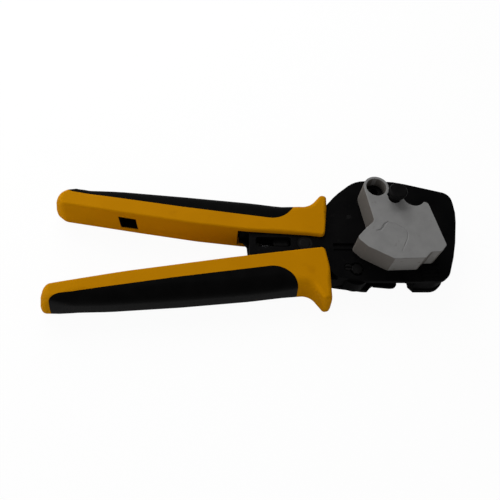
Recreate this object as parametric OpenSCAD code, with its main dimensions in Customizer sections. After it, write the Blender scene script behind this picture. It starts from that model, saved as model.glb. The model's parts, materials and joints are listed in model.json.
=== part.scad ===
// Ratchet crimping tool: two frame plates, a swinging jaw, a toothed lever and a turning locator block.
// The tool lies on its back. +X points to the nose, +Y to the fixed handle, +Z to the front face.

/* [Head plates] */
// Thickness of each frame plate
plate_t = 3.2; // [2.6:0.1:3.8]
// Clear gap between the two frame plates
plate_gap = 10.4; // [9.6:0.1:12]
// Height of the back plate above the surface the tool lies on
back_cheek = 3.2; // [2.8:0.1:4]
// Depth of the cross groove on the front plate
groove_depth = 1.4; // [0.6:0.1:1.8]
// Number of grip grooves on the nose
nose_grooves = 4; // [2:1:5]
// Spacing of the nose grooves
nose_pitch = 2.5; // [2.2:0.1:2.8]

/* [Handles] */
// Length of a handle shell from head end to tip
handle_l = 161; // [154:0.1:166]
// Width of a handle shell where it leaves the head
handle_w = 21; // [20:0.1:22]
// Width of a handle shell close to its tip
handle_tip_w = 10.2; // [9.8:0.1:11]
// Height of the finger horn above the inner edge
horn_h = 31.8; // [30:0.1:33]
// Thickness of the shell in front of the frame plates
front_cheek = 3; // [2.6:0.1:3.6]
// Edge rounding on the inner side of a handle
inner_edge_r = 1.3; // [0.8:0.1:2]
// Edge rounding on the gripped side of a handle, towards the back
outer_edge_r = 6.4; // [4:0.2:7]
// Edge rounding on the gripped side of a handle, towards the front
front_edge_r = 8.6; // [6:0.2:10]
// Thickness of the soft grip
grip_t = 2.2; // [1.6:0.1:2.4]
// Width of the hard band beside the moving handle's soft grip
band_w = 8.1; // [7.6:0.1:9]
// Extra width of the hard band on the fixed handle
band_extra = 1.2; // [0:0.1:1.6]
// Slope of the fixed handle
fixed_slope = 8.5; // [8.2:0.1:8.8]
// Slope of the moving handle when the tool is open
moving_slope = 8.4; // [8.2:0.1:9]
// Extra length of the fixed handle
fixed_extra = 1.2; // [0:0.1:1.6]
// Length of the window in the fixed handle
window_l = 10.2; // [6:0.1:14]
// Height of the window in the fixed handle
window_h = 12.4; // [8:0.1:13]

/* [Steel core of the handles] */
// Width of the steel arm inside each handle
arm_w = 6.4; // [5.4:0.1:6.8]
// Distance from a handle's inner edge to its steel arm
arm_v = 5.2; // [4.6:0.1:5.8]
// How far the steel arm runs into a handle
arm_l = 132; // [110:1:140]
// Radius of the hidden dowels that hold each shell on its arm
dowel_r = 1.5; // [1:0.1:2]

/* [Jaws] */
// Angle through which the moving jaw closes
jaw_close = 6.96; // [6.6:0.02:7.2]
// Thickness of the crimping dies
die_t = 3.5; // [3:0.1:3.8]
// Length of the crimping dies
die_l = 26; // [24:0.2:26.6]
// Radius of the large crimping nest
nest_big_r = 1.7; // [1.2:0.1:2.2]
// Radius of the small crimping nest
nest_small_r = 1.2; // [0.8:0.1:1.5]
// Gap left between the closed dies
die_gap = 0.05; // [0.03:0.01:0.2]
// Radius of the die clamping screws
die_screw_r = 1.5; // [1.2:0.1:1.7]

/* [Pivots] */
// Radius of the jaw pivot bolt
jaw_bolt_r = 5; // [4:0.1:5.6]
// Radius of the eccentric journal inside the lever
journal_r = 3.9; // [3.4:0.1:4.6]
// Radius of the eccentric's ends in the frame plates
ecc_end_r = 3; // [2.4:0.1:3.1]
// Radius of the toggle link pins
link_pin_r = 2.2; // [1.8:0.1:2.4]
// Radius of the pawl pin
pawl_pin_r = 2.2; // [1.8:0.1:2.4]
// Running clearance round a pin
run_clear = 0.05; // [0.03:0.01:0.08]
// Clearance of the toggle link round the lever's pin
link_clear = 0.25; // [0.2:0.01:0.3]
// Play of the moving parts between the frame plates
side_play = 0.1; // [0.05:0.01:0.15]

/* [Toggle and ratchet] */
// Thickness of the lever's and the jaw's middle web
web_t = 4; // [3.4:0.1:4.6]
// Outer radius of the ratchet teeth
tooth_tip_r = 22; // [21.6:0.1:22.3]
// Depth of the ratchet teeth
tooth_h = 1.7; // [1:0.1:2]
// Number of ratchet teeth
tooth_count = 5; // [3:1:6]
// Angle between ratchet teeth
tooth_pitch = 2.4; // [2:0.1:2.6]
// Clearance of the resting pawl from the teeth
pawl_clear = 0.15; // [0.1:0.01:0.3]

/* [Locator] */
// Height of the locator block
locator_h = 15.5; // [13:0.1:18]
// Clearance under the locator block
locator_clear = 0.1; // [0.05:0.01:0.2]
// Outer radius of the locator's ring
ring_r = 7.6; // [7:0.1:8]
// Bore radius of the locator's ring
ring_bore_r = 6.1; // [5.6:0.1:6.4]
// Height of the floor under the ring screw
ring_floor = 4.2; // [3:0.1:6]
// Radius of the ring screw's head
ring_screw_r = 5.1; // [4.4:0.1:5.3]

/* [Knob] */
// Radius of the knob's mushroom head
knob_r = 5.4; // [4.6:0.1:6]
// Radius of the knob's shank
shank_r = 3.15; // [2.8:0.05:3.3]
// Radius of the knob's stem inside the bushing
stem_r = 2; // [1.6:0.1:2.2]
// Height of the knob's top above the front plate
knob_h = 23.4; // [22:0.2:26]
// Thickness of the knob's head
knob_head_t = 2.4; // [1.8:0.1:3]

/* [Springs] */
// Wire radius of the jaw return spring
return_wire_r = 0.35; // [0.25:0.05:0.45]
// Coil radius of the jaw return spring
return_coil_r = 1.9; // [1.5:0.1:2.2]
// Wire radius of the pawl spring
pawl_wire_r = 0.25; // [0.2:0.05:0.3]

/* [Hidden] */

// Levels, counted up from the surface the tool lies on
gap_z0 = back_cheek + plate_t;
gap_z1 = gap_z0 + plate_gap;
front_z = gap_z1 + plate_t;
top_z = front_z + front_cheek;
mid_z = (gap_z0 + gap_z1) / 2;
in_z0 = gap_z0 + side_play;
in_z1 = gap_z1 - side_play;
web_z0 = mid_z - web_t / 2;
web_z1 = mid_z + web_t / 2;
locator_z = front_z + locator_clear;
cut = 1;

// Pivot centres with the tool open
jaw_at = [67, 26.6];
lever_at = [53.8, -19.8];
lever_link_at = [58.8, -5.4];
jaw_link_at = [70.6, -12.4];
pawl_at = [24.5, -3.2];
knob_at = [76.8, 19.2];
ecc_offset = 0.3;
lock_screw_at = [48.6, -18.7];
return_pin_at = [52.9, 15.1];
pawl_spring_at = [-2.6, -0.6];
fixed_at = [33.75, -1.6];
moving_at = [33, -6.8];

// Closed position of a point that swings with the jaw
function turned(p, c, a) = c + [cos(a) * (p.x - c.x) - sin(a) * (p.y - c.y),
    sin(a) * (p.x - c.x) + cos(a) * (p.y - c.y)];
jaw_spring_at = turned([69.4, 4.6], jaw_at, -jaw_close);

// Dies, laid out in the closed position
die_x = 85.5;
die_y0 = -22.6;
die_y1 = die_y0 + die_l;
die_tab = 4.4;
die_tab_l = 4.5;
die_tab_low = -19.2;
die_tab_high = 1.4;
nest_big_at = [die_x, -9.2];
nest_small_at = [die_x, -3.6];

// Colours
steel_black = [0.09, 0.09, 0.1];
steel = [0.45, 0.45, 0.47];
yellow = [0.93, 0.64, 0.04];
grip_black = [0.1, 0.1, 0.1];
locator_grey = [0.82, 0.82, 0.8];
spring_steel = [0.55, 0.55, 0.58];

// Rounded outlines: each corner is [x, y, radius]
function unit(v) = v / norm(v);
function xy(c) = [c.x, c.y];
function corner_arc(a, b, c, r) =
    r <= 0 ? [b] :
    let (u = unit(a - b),
        v = unit(c - b),
        half = acos(max(-1, min(1, u * v))) / 2,
        t = min(r / tan(half), 0.48 * norm(a - b), 0.48 * norm(c - b)),
        rr = t * tan(half),
        m = b + unit(u + v) * rr / sin(half),
        s = b + u * t - m,
        turn = (u.x * v.y - u.y * v.x) > 0 ? -1 : 1,
        n = max(1, ceil((180 - 2 * half) / 12)),
        a0 = atan2(s.y, s.x))
    [for (i = [0:n]) m + rr * [cos(a0 + turn * i * (180 - 2 * half) / n),
        sin(a0 + turn * i * (180 - 2 * half) / n)]];
function rounded(c) = [for (i = [0:len(c) - 1])
    each corner_arc(xy(c[(i + len(c) - 1) % len(c)]), xy(c[i]), xy(c[(i + 1) % len(c)]), c[i][2])];
function refined(p, step) = [for (i = [0:len(p) - 1])
    let (a = p[i],
        b = p[(i + 1) % len(p)],
        n = max(1, floor(norm(b - a) / step)))
    for (k = [0:n - 1]) a + (b - a) * k / n];
function arc(c, r, a0, a1, n) = [for (i = [0:n]) c + r * [cos(a0 + (a1 - a0) * i / n),
    sin(a0 + (a1 - a0) * i / n)]];

// Extrudes its 2D children between two levels
module slab(z0, z1) {
    translate([0, 0, z0]) linear_extrude(height = z1 - z0) children();
}

// Round bar along Z at a point
module rod(p, r, z0, z1, fn = 48) {
    translate([p.x, p.y, z0]) cylinder(h = z1 - z0, r = r, $fn = fn);
}

// Brings the middle of the whole tool's box over the origin
middle = [-2.87, 0.7];
module centred() {
    translate([-middle.x, -middle.y, 0]) children();
}

// Flat link outline between two round ends
module link_outline(a, ra, b, rb) {
    d = norm(b - a);
    base = atan2(b.y - a.y, b.x - a.x);
    lean = acos((ra - rb) / d);
    translate(a) circle(r = ra, $fn = 64);
    translate(b) circle(r = rb, $fn = 64);
    polygon([a + ra * [cos(base + lean), sin(base + lean)], a + ra * [cos(base - lean), sin(base - lean)],
        b + rb * [cos(base - lean), sin(base - lean)], b + rb * [cos(base + lean), sin(base + lean)]]);
}

// Places the closed-position layout of the jaw at rest, with the tool open
module jaw_open() {
    translate(jaw_at) rotate(-jaw_close) translate(-jaw_at) children();
}

// Handle axes: u runs from the head end to the tip, v runs outward from the inner edge
module on_fixed() {
    translate(fixed_at) rotate(-fixed_slope) mirror([1, 0, 0]) children();
}

module on_moving() {
    translate(moving_at) rotate(180 + moving_slope) children();
}

// Frame plate outline
head_left = -8.3;
head_bottom = -27.3;
head_top = 41.9;
head_corners = [[head_left, -11.8, 1], [31, -12, 8], [41, -24.6, 5], [60, head_bottom, 14],
    [106.2, head_bottom, 9], [114.4, -7, 70], [120.45, 19, 60], [119.2, 33, 7], [84, head_top, 60],
    [59.5, head_top, 18], [46.2, 31, 30], [38, 21.6, 8], [28, 15.2, 6], [head_left, 15.2, 1]];

module head_outline() {
    polygon(rounded(head_corners));
}

throat_left = 62.4;
throat_right = 87.8;
throat_top = 6.8;
hook_at = [throat_right, -24.2];
hook_slant = [2.8, -3.1];
module throat_outline() {
    polygon(rounded([[throat_left, head_bottom - 9, 0], [throat_left, head_bottom, 0],
        [throat_left + 2.2, -24.8, 1.5], [76, -17.5, 3], [79.5, throat_top, 3],
        [throat_right, throat_top, 3], [hook_at.x, hook_at.y, 0],
        [hook_at.x + hook_slant.x, hook_at.y + hook_slant.y, 0],
        [hook_at.x + hook_slant.x, head_bottom - 9, 0]]));
}

rivet_r = 2.5;
rivet_spots = [[107, 28.5], [111, 6], [100.5, -14]];
tang_rivet_r = 2.2;
tang_rivet_spots = [[3, 9.6], [22, 9.6]];

module plate_holes(z0, z1) {
    rod(jaw_at, jaw_bolt_r, z0, z1);
    rod(lever_at - [ecc_offset, 0], ecc_end_r, z0, z1);
    rod(pawl_at, pawl_pin_r, z0, z1);
    rod(return_pin_at, return_pin_r, z0, z1);
    for (p = rivet_spots) rod(p, rivet_r, z0, z1);
    for (p = tang_rivet_spots) rod(p, tang_rivet_r, z0, z1);
}

// Front plate with release slot, die window, cross groove and nose grooves
slot_x0 = -4.2;
slot_x1 = 16.2;
slot_y0 = -5.4;
slot_y1 = 0.6;
pin_head_t = 1.2;
pawl_head_r = 4.4;
wheel_t = 1.4;
wheel_r = 3.9;
lock_head_r = 2.1;
lock_thread_r = 1.2;
lock_head_t = 1.5;
groove_at = [41.2, -5.3];
groove_l = 21;
groove_w = 2.2;
nose_x0 = 91.6;
nose_x1 = 101.6;
nose_y = -17.1;
nose_depth = 0.5;
pocket_clear = 0.3;
bush_r = 3.3;

module front_frame_plate() {
    color(steel_black) centred() difference() {
        slab(gap_z1, front_z) head_outline();
        plate_holes(gap_z1 - cut, front_z + cut);
        slab(gap_z1 - cut, front_z + cut)
            polygon(rounded([[slot_x0, slot_y0, 1.5], [slot_x1, slot_y0, 1.5],
                [slot_x1, slot_y1, 1.5], [slot_x0, slot_y1, 1.5]]));
        slab(gap_z1 - cut, front_z + cut)
            polygon(rounded([[80.6, -17.5, 2], [90.4, -17.5, 2], [90.4, 4.6, 2], [80.6, 4.6, 2]]));
        rod(knob_at, bush_r, gap_z1 - cut, front_z + cut);
        rod(pawl_at, pawl_head_r, front_z - pin_head_t, front_z + cut);
        rod(lever_at - [ecc_offset, 0], wheel_r + pocket_clear, front_z - wheel_t, front_z + cut);
        rod(lock_screw_at, lock_head_r + pocket_clear, front_z - lock_head_t, front_z + cut);
        rod(lock_screw_at, lock_thread_r, gap_z1 - cut, front_z + cut);
        translate([groove_at.x, groove_at.y, front_z - groove_depth])
            cube([groove_l, groove_w, groove_depth + cut]);
        translate([groove_at.x, groove_at.y - 2.9, front_z - groove_depth / 2])
            cube([groove_l, 1.2, groove_depth + cut]);
        for (i = [0:nose_grooves - 1])
            translate([nose_x0, nose_y - i * nose_pitch - 0.5, front_z - nose_depth])
                cube([nose_x1 - nose_x0, 1, nose_depth + cut]);
        translate([79.2, head_bottom - cut, front_z - 0.8]) cube([12.2, 10.8, 0.8 + cut]);
    }
}

module back_frame_plate() {
    color(steel_black) centred() difference() {
        slab(back_cheek, gap_z0) head_outline();
        slab(back_cheek - cut, gap_z0 + cut) throat_outline();
        rod(pawl_spring_at, pawl_spring_pin_r, back_cheek - cut, gap_z0 + cut);
        plate_holes(back_cheek - cut, gap_z0 + cut);
    }
}

// Fixed jaw: the hook between the plates, up the nose side of the head
module fixed_jaw() {
    x0 = die_x + die_t;
    color(steel) centred() difference() {
        slab(gap_z0, gap_z1)
            polygon(rounded([[x0, 6.4, 1], [x0, die_y0 - lead_in, 0], [92.2, -26.4, 2], [105.2, -26.8, 9],
                [113.2, -7, 60], [118.8, 19, 50], [117.6, 31, 7], [97, 37.6, 4], [94, 31, 4],
                [102, 20, 10], [99, 6.4, 4]]));
        slab(web_z0, web_z1)
            for (y = [die_tab_low, die_tab_high])
                translate([x0 - cut, y - die_tab / 2]) square([die_tab_l + cut, die_tab]);
        for (y = [die_tab_low, die_tab_high])
            rod([x0 + die_tab_l / 2, y], die_screw_r, gap_z0 - cut, gap_z1 + cut);
        for (p = rivet_spots) rod(p, rivet_r, gap_z0 - cut, gap_z1 + cut);
    }
}

module nests() {
    rod(nest_big_at, nest_big_r, gap_z0 - cut, gap_z1 + cut);
    rod(nest_small_at, nest_small_r, gap_z0 - cut, gap_z1 + cut);
}

// The fixed die ends in a slanted, ribbed lead-in
lead_in = 3.4;
rib_r = 0.35;
module fixed_die() {
    x1 = die_x + die_t;
    color(steel_black) centred() difference() {
        union() {
            slab(in_z0, in_z1)
                polygon([[die_x, die_y1], [die_x, die_y0], [x1, die_y0 - lead_in], [x1, die_y1]]);
            slab(web_z0, web_z1)
                for (y = [die_tab_low, die_tab_high])
                    translate([x1, y - die_tab / 2]) square([die_tab_l, die_tab]);
        }
        nests();
        for (y = [die_tab_low, die_tab_high])
            rod([x1 + die_tab_l / 2, y], die_screw_r, gap_z0 - cut, gap_z1 + cut);
        for (i = [0:3])
            rod([die_x, die_y0] + (i + 0.5) / 4 * [die_t, -lead_in], rib_r, in_z0 - cut, in_z1 + cut, 16);
    }
}

module die_screw(p) {
    difference() {
        rod(p, die_screw_r, in_z0, in_z1);
        rod(p, die_screw_r * 0.55, in_z1 - 1.2, in_z1 + cut, 6);
    }
}

module fixed_die_screws() {
    color(spring_steel) centred() for (y = [die_tab_low, die_tab_high])
        die_screw([die_x + die_t + die_tab_l / 2, y]);
}

module frame_rivets() {
    color(steel_black) centred() for (p = rivet_spots) rod(p, rivet_r, back_cheek, front_z);
}

// Jaw pivot bolt, threaded at its front end for the locator screw
nut_r = 7.5;
bolt_thread_r = 4;
screw_thread_r = 2.5;
screw_depth = 11;
module jaw_pivot_bolt() {
    color(steel) centred() difference() {
        union() {
            rod(jaw_at, jaw_bolt_r, back_cheek, front_z);
            rod(jaw_at, min(bolt_thread_r, jaw_bolt_r), 0.3, back_cheek);
        }
        rod(jaw_at, screw_thread_r, front_z - screw_depth, front_z + cut);
    }
}

module jaw_pivot_nut() {
    color(steel) centred() difference() {
        rod(jaw_at, nut_r, 0, back_cheek, 6);
        rod(jaw_at, min(bolt_thread_r, jaw_bolt_r), -cut, back_cheek + cut);
    }
}

// Eccentric shaft with its notched adjusting wheel
circlip_t = 1;
circlip_groove_r = 2.3;
ecc_back = 1.3;
notch_count = 8;
module eccentric_shaft() {
    c = lever_at - [ecc_offset, 0];
    lock_gap = norm(lock_screw_at - c);
    color(steel_black) centred() difference() {
        union() {
            rod(c, ecc_end_r, ecc_back, gap_z0);
            rod(lever_at, journal_r, gap_z0, gap_z1);
            rod(c, ecc_end_r, gap_z1, front_z);
            rod(c, wheel_r, front_z - wheel_t, front_z);
        }
        for (i = [0:notch_count - 1])
            rod(c + lock_gap * [cos(i * 360 / notch_count + 168), sin(i * 360 / notch_count + 168)],
                lock_head_r + 0.1, front_z - wheel_t, front_z + cut);
        difference() {
            rod(c, ecc_end_r + cut, back_cheek - circlip_t, back_cheek);
            rod(c, circlip_groove_r, back_cheek - circlip_t - cut, back_cheek + cut);
        }
    }
}

module eccentric_circlip() {
    c = lever_at - [ecc_offset, 0];
    color(spring_steel) centred() difference() {
        rod(c, ecc_end_r + 2, back_cheek - circlip_t, back_cheek);
        rod(c, circlip_groove_r, -cut, back_cheek + cut);
        translate([c.x - 1, c.y, back_cheek - circlip_t - cut])
            cube([2, ecc_end_r + 3, circlip_t + 2 * cut]);
    }
}

module adjuster_lock_screw() {
    color(steel) centred() difference() {
        union() {
            rod(lock_screw_at, lock_head_r, front_z - lock_head_t, front_z);
            rod(lock_screw_at, lock_thread_r, gap_z1, front_z - lock_head_t);
        }
        translate([lock_screw_at.x - lock_head_r - cut, lock_screw_at.y - 0.35, front_z - 0.7])
            cube([2 * lock_head_r + 2 * cut, 0.7, 0.7 + cut]);
    }
}

// Steel arm of the fixed handle, riveted between the plate tails
cavity_u = 49;
module arm_outline() {
    polygon(rounded([[cavity_u - 1, arm_v, 0], [arm_l, arm_v, 1.5], [arm_l, arm_v + arm_w - 1.2, 1.5],
        [cavity_u - 1, arm_v + arm_w, 0]]));
}

function from_fixed(u, v) = fixed_at + [v * sin(fixed_slope) - u * cos(fixed_slope),
    u * sin(fixed_slope) + v * cos(fixed_slope)];
function corner(p, r) = [p.x, p.y, r];
tang_y0 = 5.6;
tang_y1 = 14.6;
tang_x1 = 44;
tang_v = 1.2;
module tang_outline() {
    polygon(rounded([corner(from_fixed(arm_l, arm_v), 1.5), corner(from_fixed(cavity_u - 0.4, arm_v), 0.6),
        corner(from_fixed(cavity_u - 0.4, tang_v), 1.5), [head_left + 6, tang_y0, 8], [tang_x1, tang_y0, 1],
        [tang_x1, tang_y1 + 2, 1], [35.4, tang_y1 + 2, 2], [27, tang_y1, 3], [3, tang_y1, 3],
        corner(from_fixed(40, arm_v + arm_w), 3), corner(from_fixed(arm_l, arm_v + arm_w - 1.2), 1.5)]));
}

module handle_tang() {
    color(steel) centred() difference() {
        slab(gap_z0, gap_z1) tang_outline();
        for (p = tang_rivet_spots) rod(p, tang_rivet_r, gap_z0 - cut, gap_z1 + cut);
        on_fixed() for (u = dowel_spots) rod([u, arm_v + arm_w / 2], dowel_r, gap_z0 - cut, gap_z1 + cut);
    }
}

module tang_rivets() {
    color(steel) centred() for (p = tang_rivet_spots) rod(p, tang_rivet_r, back_cheek, front_z);
}

// Handle form: the outline is lofted through layers whose edges are rounded by a radius of its own
// at each point, small on the inner edge and the horn, large on the gripped side
horn_tip_r = 3.4;
horn_edge_r = 2.6;
tip_r = 4;
tip_edge_r = 3;
tip_lean = 6.6;
tip_lean_side = 0.4;
tip_lean_l = 18;
taper_at = [124, 15.8];
waist_at = [84, 19];
shoulder_at = 44;
function handle_corners(l, heel, bend, horn) = [[8, heel, 0], [bend.x, bend.y, 80], [110, bend.y + 0.3, 90],
    [l - 4.5, bend.y + 1.8, 7], [l, bend.y + 4.8, 5], [l, handle_tip_w - 0.2, tip_r],
    [taper_at.x, taper_at.y, 120], [waist_at.x, waist_at.y, 150], [shoulder_at, handle_w - 0.1, 150],
    [8.9, handle_w, 10], [-2, horn + 6.8, horn_tip_r], [-2.5, heel + 0.3, 2.4]];
fixed_handle = handle_corners(handle_l + fixed_extra, 3, [70, -1.6], horn_h - 1.2);
moving_handle = handle_corners(handle_l, -0.1, [48, -0.65], horn_h);
function clamp01(x) = max(0, min(1, x));
function edge_r(p, side_r) =
    let (across = clamp01(p.y / 12),
        along = clamp01((p.x - 14) / 12),
        head_r = inner_edge_r + clamp01((p.y - 12) / 12) * (horn_edge_r - inner_edge_r),
        long_r = inner_edge_r + across * (side_r - inner_edge_r))
    head_r + along * (long_r - head_r)
        + clamp01((p.x - handle_l + 20) / 12) * (min(long_r, tip_edge_r) - long_r);
function lean(p, z) = (tip_lean + tip_lean_side * (p.y - handle_tip_w / 2)) * pow(z / top_z, 2)
    * clamp01((p.x - handle_l + tip_lean_l) / tip_lean_l);
function drop(r, d) = d >= r ? 0 : r - sqrt(max(0, r * r - (r - d) * (r - d)));
function inward(p, i) =
    let (n = len(p),
        a = unit(p[i] - p[(i + n - 1) % n]),
        b = unit(p[(i + 1) % n] - p[i]),
        m = unit([-a.y - b.y, a.x + b.x]))
    m / max(0.6, m * [-a.y, a.x]);
layer_share = [0, 0.06, 0.22, 0.5, 1];

module handle_form(corners) {
    outline = refined(rounded(corners), 12);
    n = len(outline);
    back = [for (share = layer_share) [share * outer_edge_r, outer_edge_r]];
    front = [for (i = [len(layer_share) - 1:-1:0])
        [top_z - layer_share[i] * front_edge_r, front_edge_r]];
    levels = concat(back, front);
    points = [for (level = levels) for (i = [0:n - 1])
        let (z = level[0],
            p = outline[i] + inward(outline, i) * drop(edge_r(outline[i], level[1]), min(z, top_z - z)))
        [p.x - lean(p, z), p.y, z]];
    sides = [for (j = [0:len(levels) - 2]) for (i = [0:n - 1])
        let (a = j * n + i, b = j * n + (i + 1) % n)
        each [[a, a + n, b + n], [a, b + n, b]]];
    top = (len(levels) - 1) * n;
    caps = [[for (i = [0:n - 1]) i], [for (i = [n - 1:-1:0]) top + i]];
    polyhedron(points, concat(sides, caps), convexity = 6);
}

grip_end = 5.6;
grip_start = 18.3;
module grip_outline(band) {
    polygon(rounded([[handle_l - grip_end, band + 1.6, 6], [handle_l - grip_end, handle_w + 20, 0],
        [grip_start, handle_w + 20, 0], [grip_start, band + 0.3, 14],
        [waist_at.x, band - 0.4, 200]]));
}

module core_outline(band) {
    polygon(rounded([[16, band - 1, 0], [handle_l - 22, band - 1, 2],
        [handle_l - 22, handle_tip_w + 1.4, 1.4],
        [taper_at.x, taper_at.y - grip_t, 30], [16, handle_w - grip_t - 0.5, 0]]));
}

// Space that the soft grip fills
module grip_space(band) {
    difference() {
        slab(-cut, top_z + cut) grip_outline(band);
        slab(grip_t, top_z - grip_t) core_outline(band);
    }
}

module handle_grip(corners, band) {
    intersection() {
        handle_form(corners);
        grip_space(band);
    }
}

dowel_spots = [66, 96, 122];
window_u = 115.4;
window_z = mid_z - 0.4;
module window_cut() {
    translate([window_u - window_l / 2, -2 * cut, window_z - window_h / 2])
        cube([window_l, arm_v + 2 * cut, window_h]);
}

module fixed_handle_shell() {
    color(yellow) centred() difference() {
        on_fixed() difference() {
            handle_form(fixed_handle);
            grip_space(band_w + band_extra);
            slab(gap_z0, gap_z1) arm_outline();
            window_cut();
            for (u = dowel_spots) rod([u, arm_v + arm_w / 2], dowel_r, gap_z0 - 2, gap_z1 + 2);
        }
        slab(back_cheek, front_z) {
            head_outline();
            on_fixed() polygon([[-14, -9], [cavity_u, -9], [cavity_u, arm_v + arm_w], [32, arm_v + arm_w],
                [-14, arm_v + 2]]);
        }
    }
}

module fixed_handle_grip() {
    color(grip_black) centred() on_fixed() handle_grip(fixed_handle, band_w + band_extra);
}

module handle_dowels() {
    for (u = dowel_spots) rod([u, arm_v + arm_w / 2], dowel_r, gap_z0 - 2, gap_z1 + 2);
}

module fixed_handle_dowels() {
    color(steel) centred() on_fixed() handle_dowels();
}

// Pawl pin, flush in the front plate, with a spacer on each side of the pawl
spacer_r = 3.7;
module pawl_pin() {
    color(steel_black) centred() union() {
        rod(pawl_at, pawl_pin_r, back_cheek, front_z - pin_head_t);
        rod(pawl_at, pawl_head_r, front_z - pin_head_t, front_z);
    }
}

module pawl_spacers() {
    color(steel) centred() difference() {
        union() {
            rod(pawl_at, spacer_r, gap_z0, web_z0 - side_play);
            rod(pawl_at, spacer_r, web_z1 + side_play, gap_z1);
        }
        rod(pawl_at, pawl_pin_r, gap_z0 - cut, gap_z1 + cut);
    }
}

pawl_spring_pin_r = 1;
return_pin_r = 1.6;
module pawl_spring_pin() {
    color(steel) centred() rod(pawl_spring_at, pawl_spring_pin_r, back_cheek, mid_z + 1.6);
}

module return_spring_pin() {
    color(steel) centred() rod(return_pin_at, return_pin_r, back_cheek, front_z);
}

// Pawl: a pointed nose towards the lever pivot and a release pad under the slot
pawl_reach = norm(lever_at - pawl_at) - tooth_tip_r - pawl_clear;
pawl_aim = atan2(lever_at.y - pawl_at.y, lever_at.x - pawl_at.x);
pawl_hub_r = 4.2;
pad_x0 = 6.4;
pad_x1 = 15.4;
pad_y = -1.1;
pad_w = 4.2;
pad_drop = 0.3;
module pawl() {
    color(steel) centred() difference() {
        union() {
            slab(web_z0, web_z1) union() {
                translate(pawl_at) circle(r = pawl_hub_r, $fn = 64);
                translate(pawl_at) rotate(pawl_aim)
                    polygon([[0, -3.4], [pawl_reach - 3.4, -1.7], [pawl_reach, 0], [pawl_reach - 3.4, 1.7],
                        [0, 3.4]]);
                polygon([[pad_x0, pad_y - pad_w / 2], [pad_x1, pad_y - pad_w / 2],
                    [pawl_at.x - 1, pawl_at.y - 3], [pawl_at.x - 1, pawl_at.y + 3.6],
                    [pad_x1, pad_y + pad_w / 2], [pad_x0, pad_y + pad_w / 2]]);
            }
            slab(web_z0, gap_z1 - pad_drop)
                polygon(rounded([[pad_x0, pad_y - pad_w / 2, 0.8], [pad_x1, pad_y - pad_w / 2, 0.8],
                    [pad_x1, pad_y + pad_w / 2, 0.8], [pad_x0, pad_y + pad_w / 2, 0.8]]));
        }
        rod(pawl_at, pawl_pin_r + run_clear, web_z0 - cut, web_z1 + cut);
    }
}

// Wire swept along a path with a six-sided section
function along(p, i) = unit(p[min(i + 1, len(p) - 1)] - p[max(i - 1, 0)]);
function square_to(n, t) = unit(n - (n * t) * t);
function frames(p) = [for (i = 0, n = square_to([0.3, 0.5, 0.8], along(p, 0)); i < len(p);
    i = i + 1, n = i < len(p) ? square_to(n, along(p, i)) : n) n];
module wire(path, r, sides = 6) {
    f = frames(path);
    points = [for (i = [0:len(path) - 1]) for (k = [0:sides - 1])
        path[i] + r * (cos(k * 360 / sides) * f[i] + sin(k * 360 / sides) * cross(along(path, i), f[i]))];
    polyhedron(points, concat([[for (k = [0:sides - 1]) k]],
        [for (i = [0:len(path) - 2]) for (k = [0:sides - 1])
            let (a = i * sides + k, b = i * sides + (k + 1) % sides)
            each [[a, a + sides, b + sides], [a, b + sides, b]]],
        [[for (k = [sides - 1:-1:0]) (len(path) - 1) * sides + k]]), convexity = 10);
}

// Tension spring along X from an eye round one pin to an eye round the other
function eye(x, r, a0, a1) = [for (i = [0:6])
    let (a = a0 + (a1 - a0) * i / 6)
    [x + r * cos(a), r * sin(a), 0]];
function tension_path(l, coil_r, eye_a, eye_b, turns, steps) = concat(
    eye(0, eye_a, 200, 20),
    [for (i = [0:turns * steps]) let (t = i / (turns * steps), a = 360 * i / steps)
        [eye_a + 1.2 + t * (l - eye_a - eye_b - 2.4), coil_r * cos(a), coil_r * sin(a)]],
    eye(l, eye_b, 160, -20));

module tension_spring(a, b, z, wire_r, coil_r, eye_a, eye_b, turns, steps) {
    translate([a.x, a.y, z]) rotate(atan2(b.y - a.y, b.x - a.x))
        wire(tension_path(norm(b - a), coil_r, eye_a, eye_b, turns, steps), wire_r);
}

pawl_spring_end = [pad_x0 - 0.8, pad_y];
module pawl_spring() {
    color(spring_steel) centred() tension_spring(pawl_spring_at, pawl_spring_end, mid_z, pawl_wire_r, 1.1,
        pawl_spring_pin_r + pawl_wire_r, 0.4, 5, 8);
}

// Moving jaw, laid out closed and turned back open
jaw_boss_r = 8;
spring_notch_r = 3.1;
link_pocket = 4.6;
module jaw_outline() {
    x1 = die_x - die_gap - die_t;
    translate(jaw_at) circle(r = jaw_boss_r, $fn = 72);
    polygon(rounded([[60.4, 24, 4], [63.4, 11, 8], [66.4, 3, 8], [68.2, -8, 10], [69.8, -15, 10],
        [71.6, -25.4, 1.2], [x1, -25.1, 0.4], [x1, die_y1 + 0.8, 1], [76.2, 9, 6], [72.2, 16.5, 6],
        [71, 30, 0]]));
}

toe_y = -21.4;
toe_t = 2.4;
module above_toe() {
    slab(in_z0 + toe_t, in_z1 + cut) translate([die_x - 20, toe_y - 9]) square([24, 9]);
}

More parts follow.
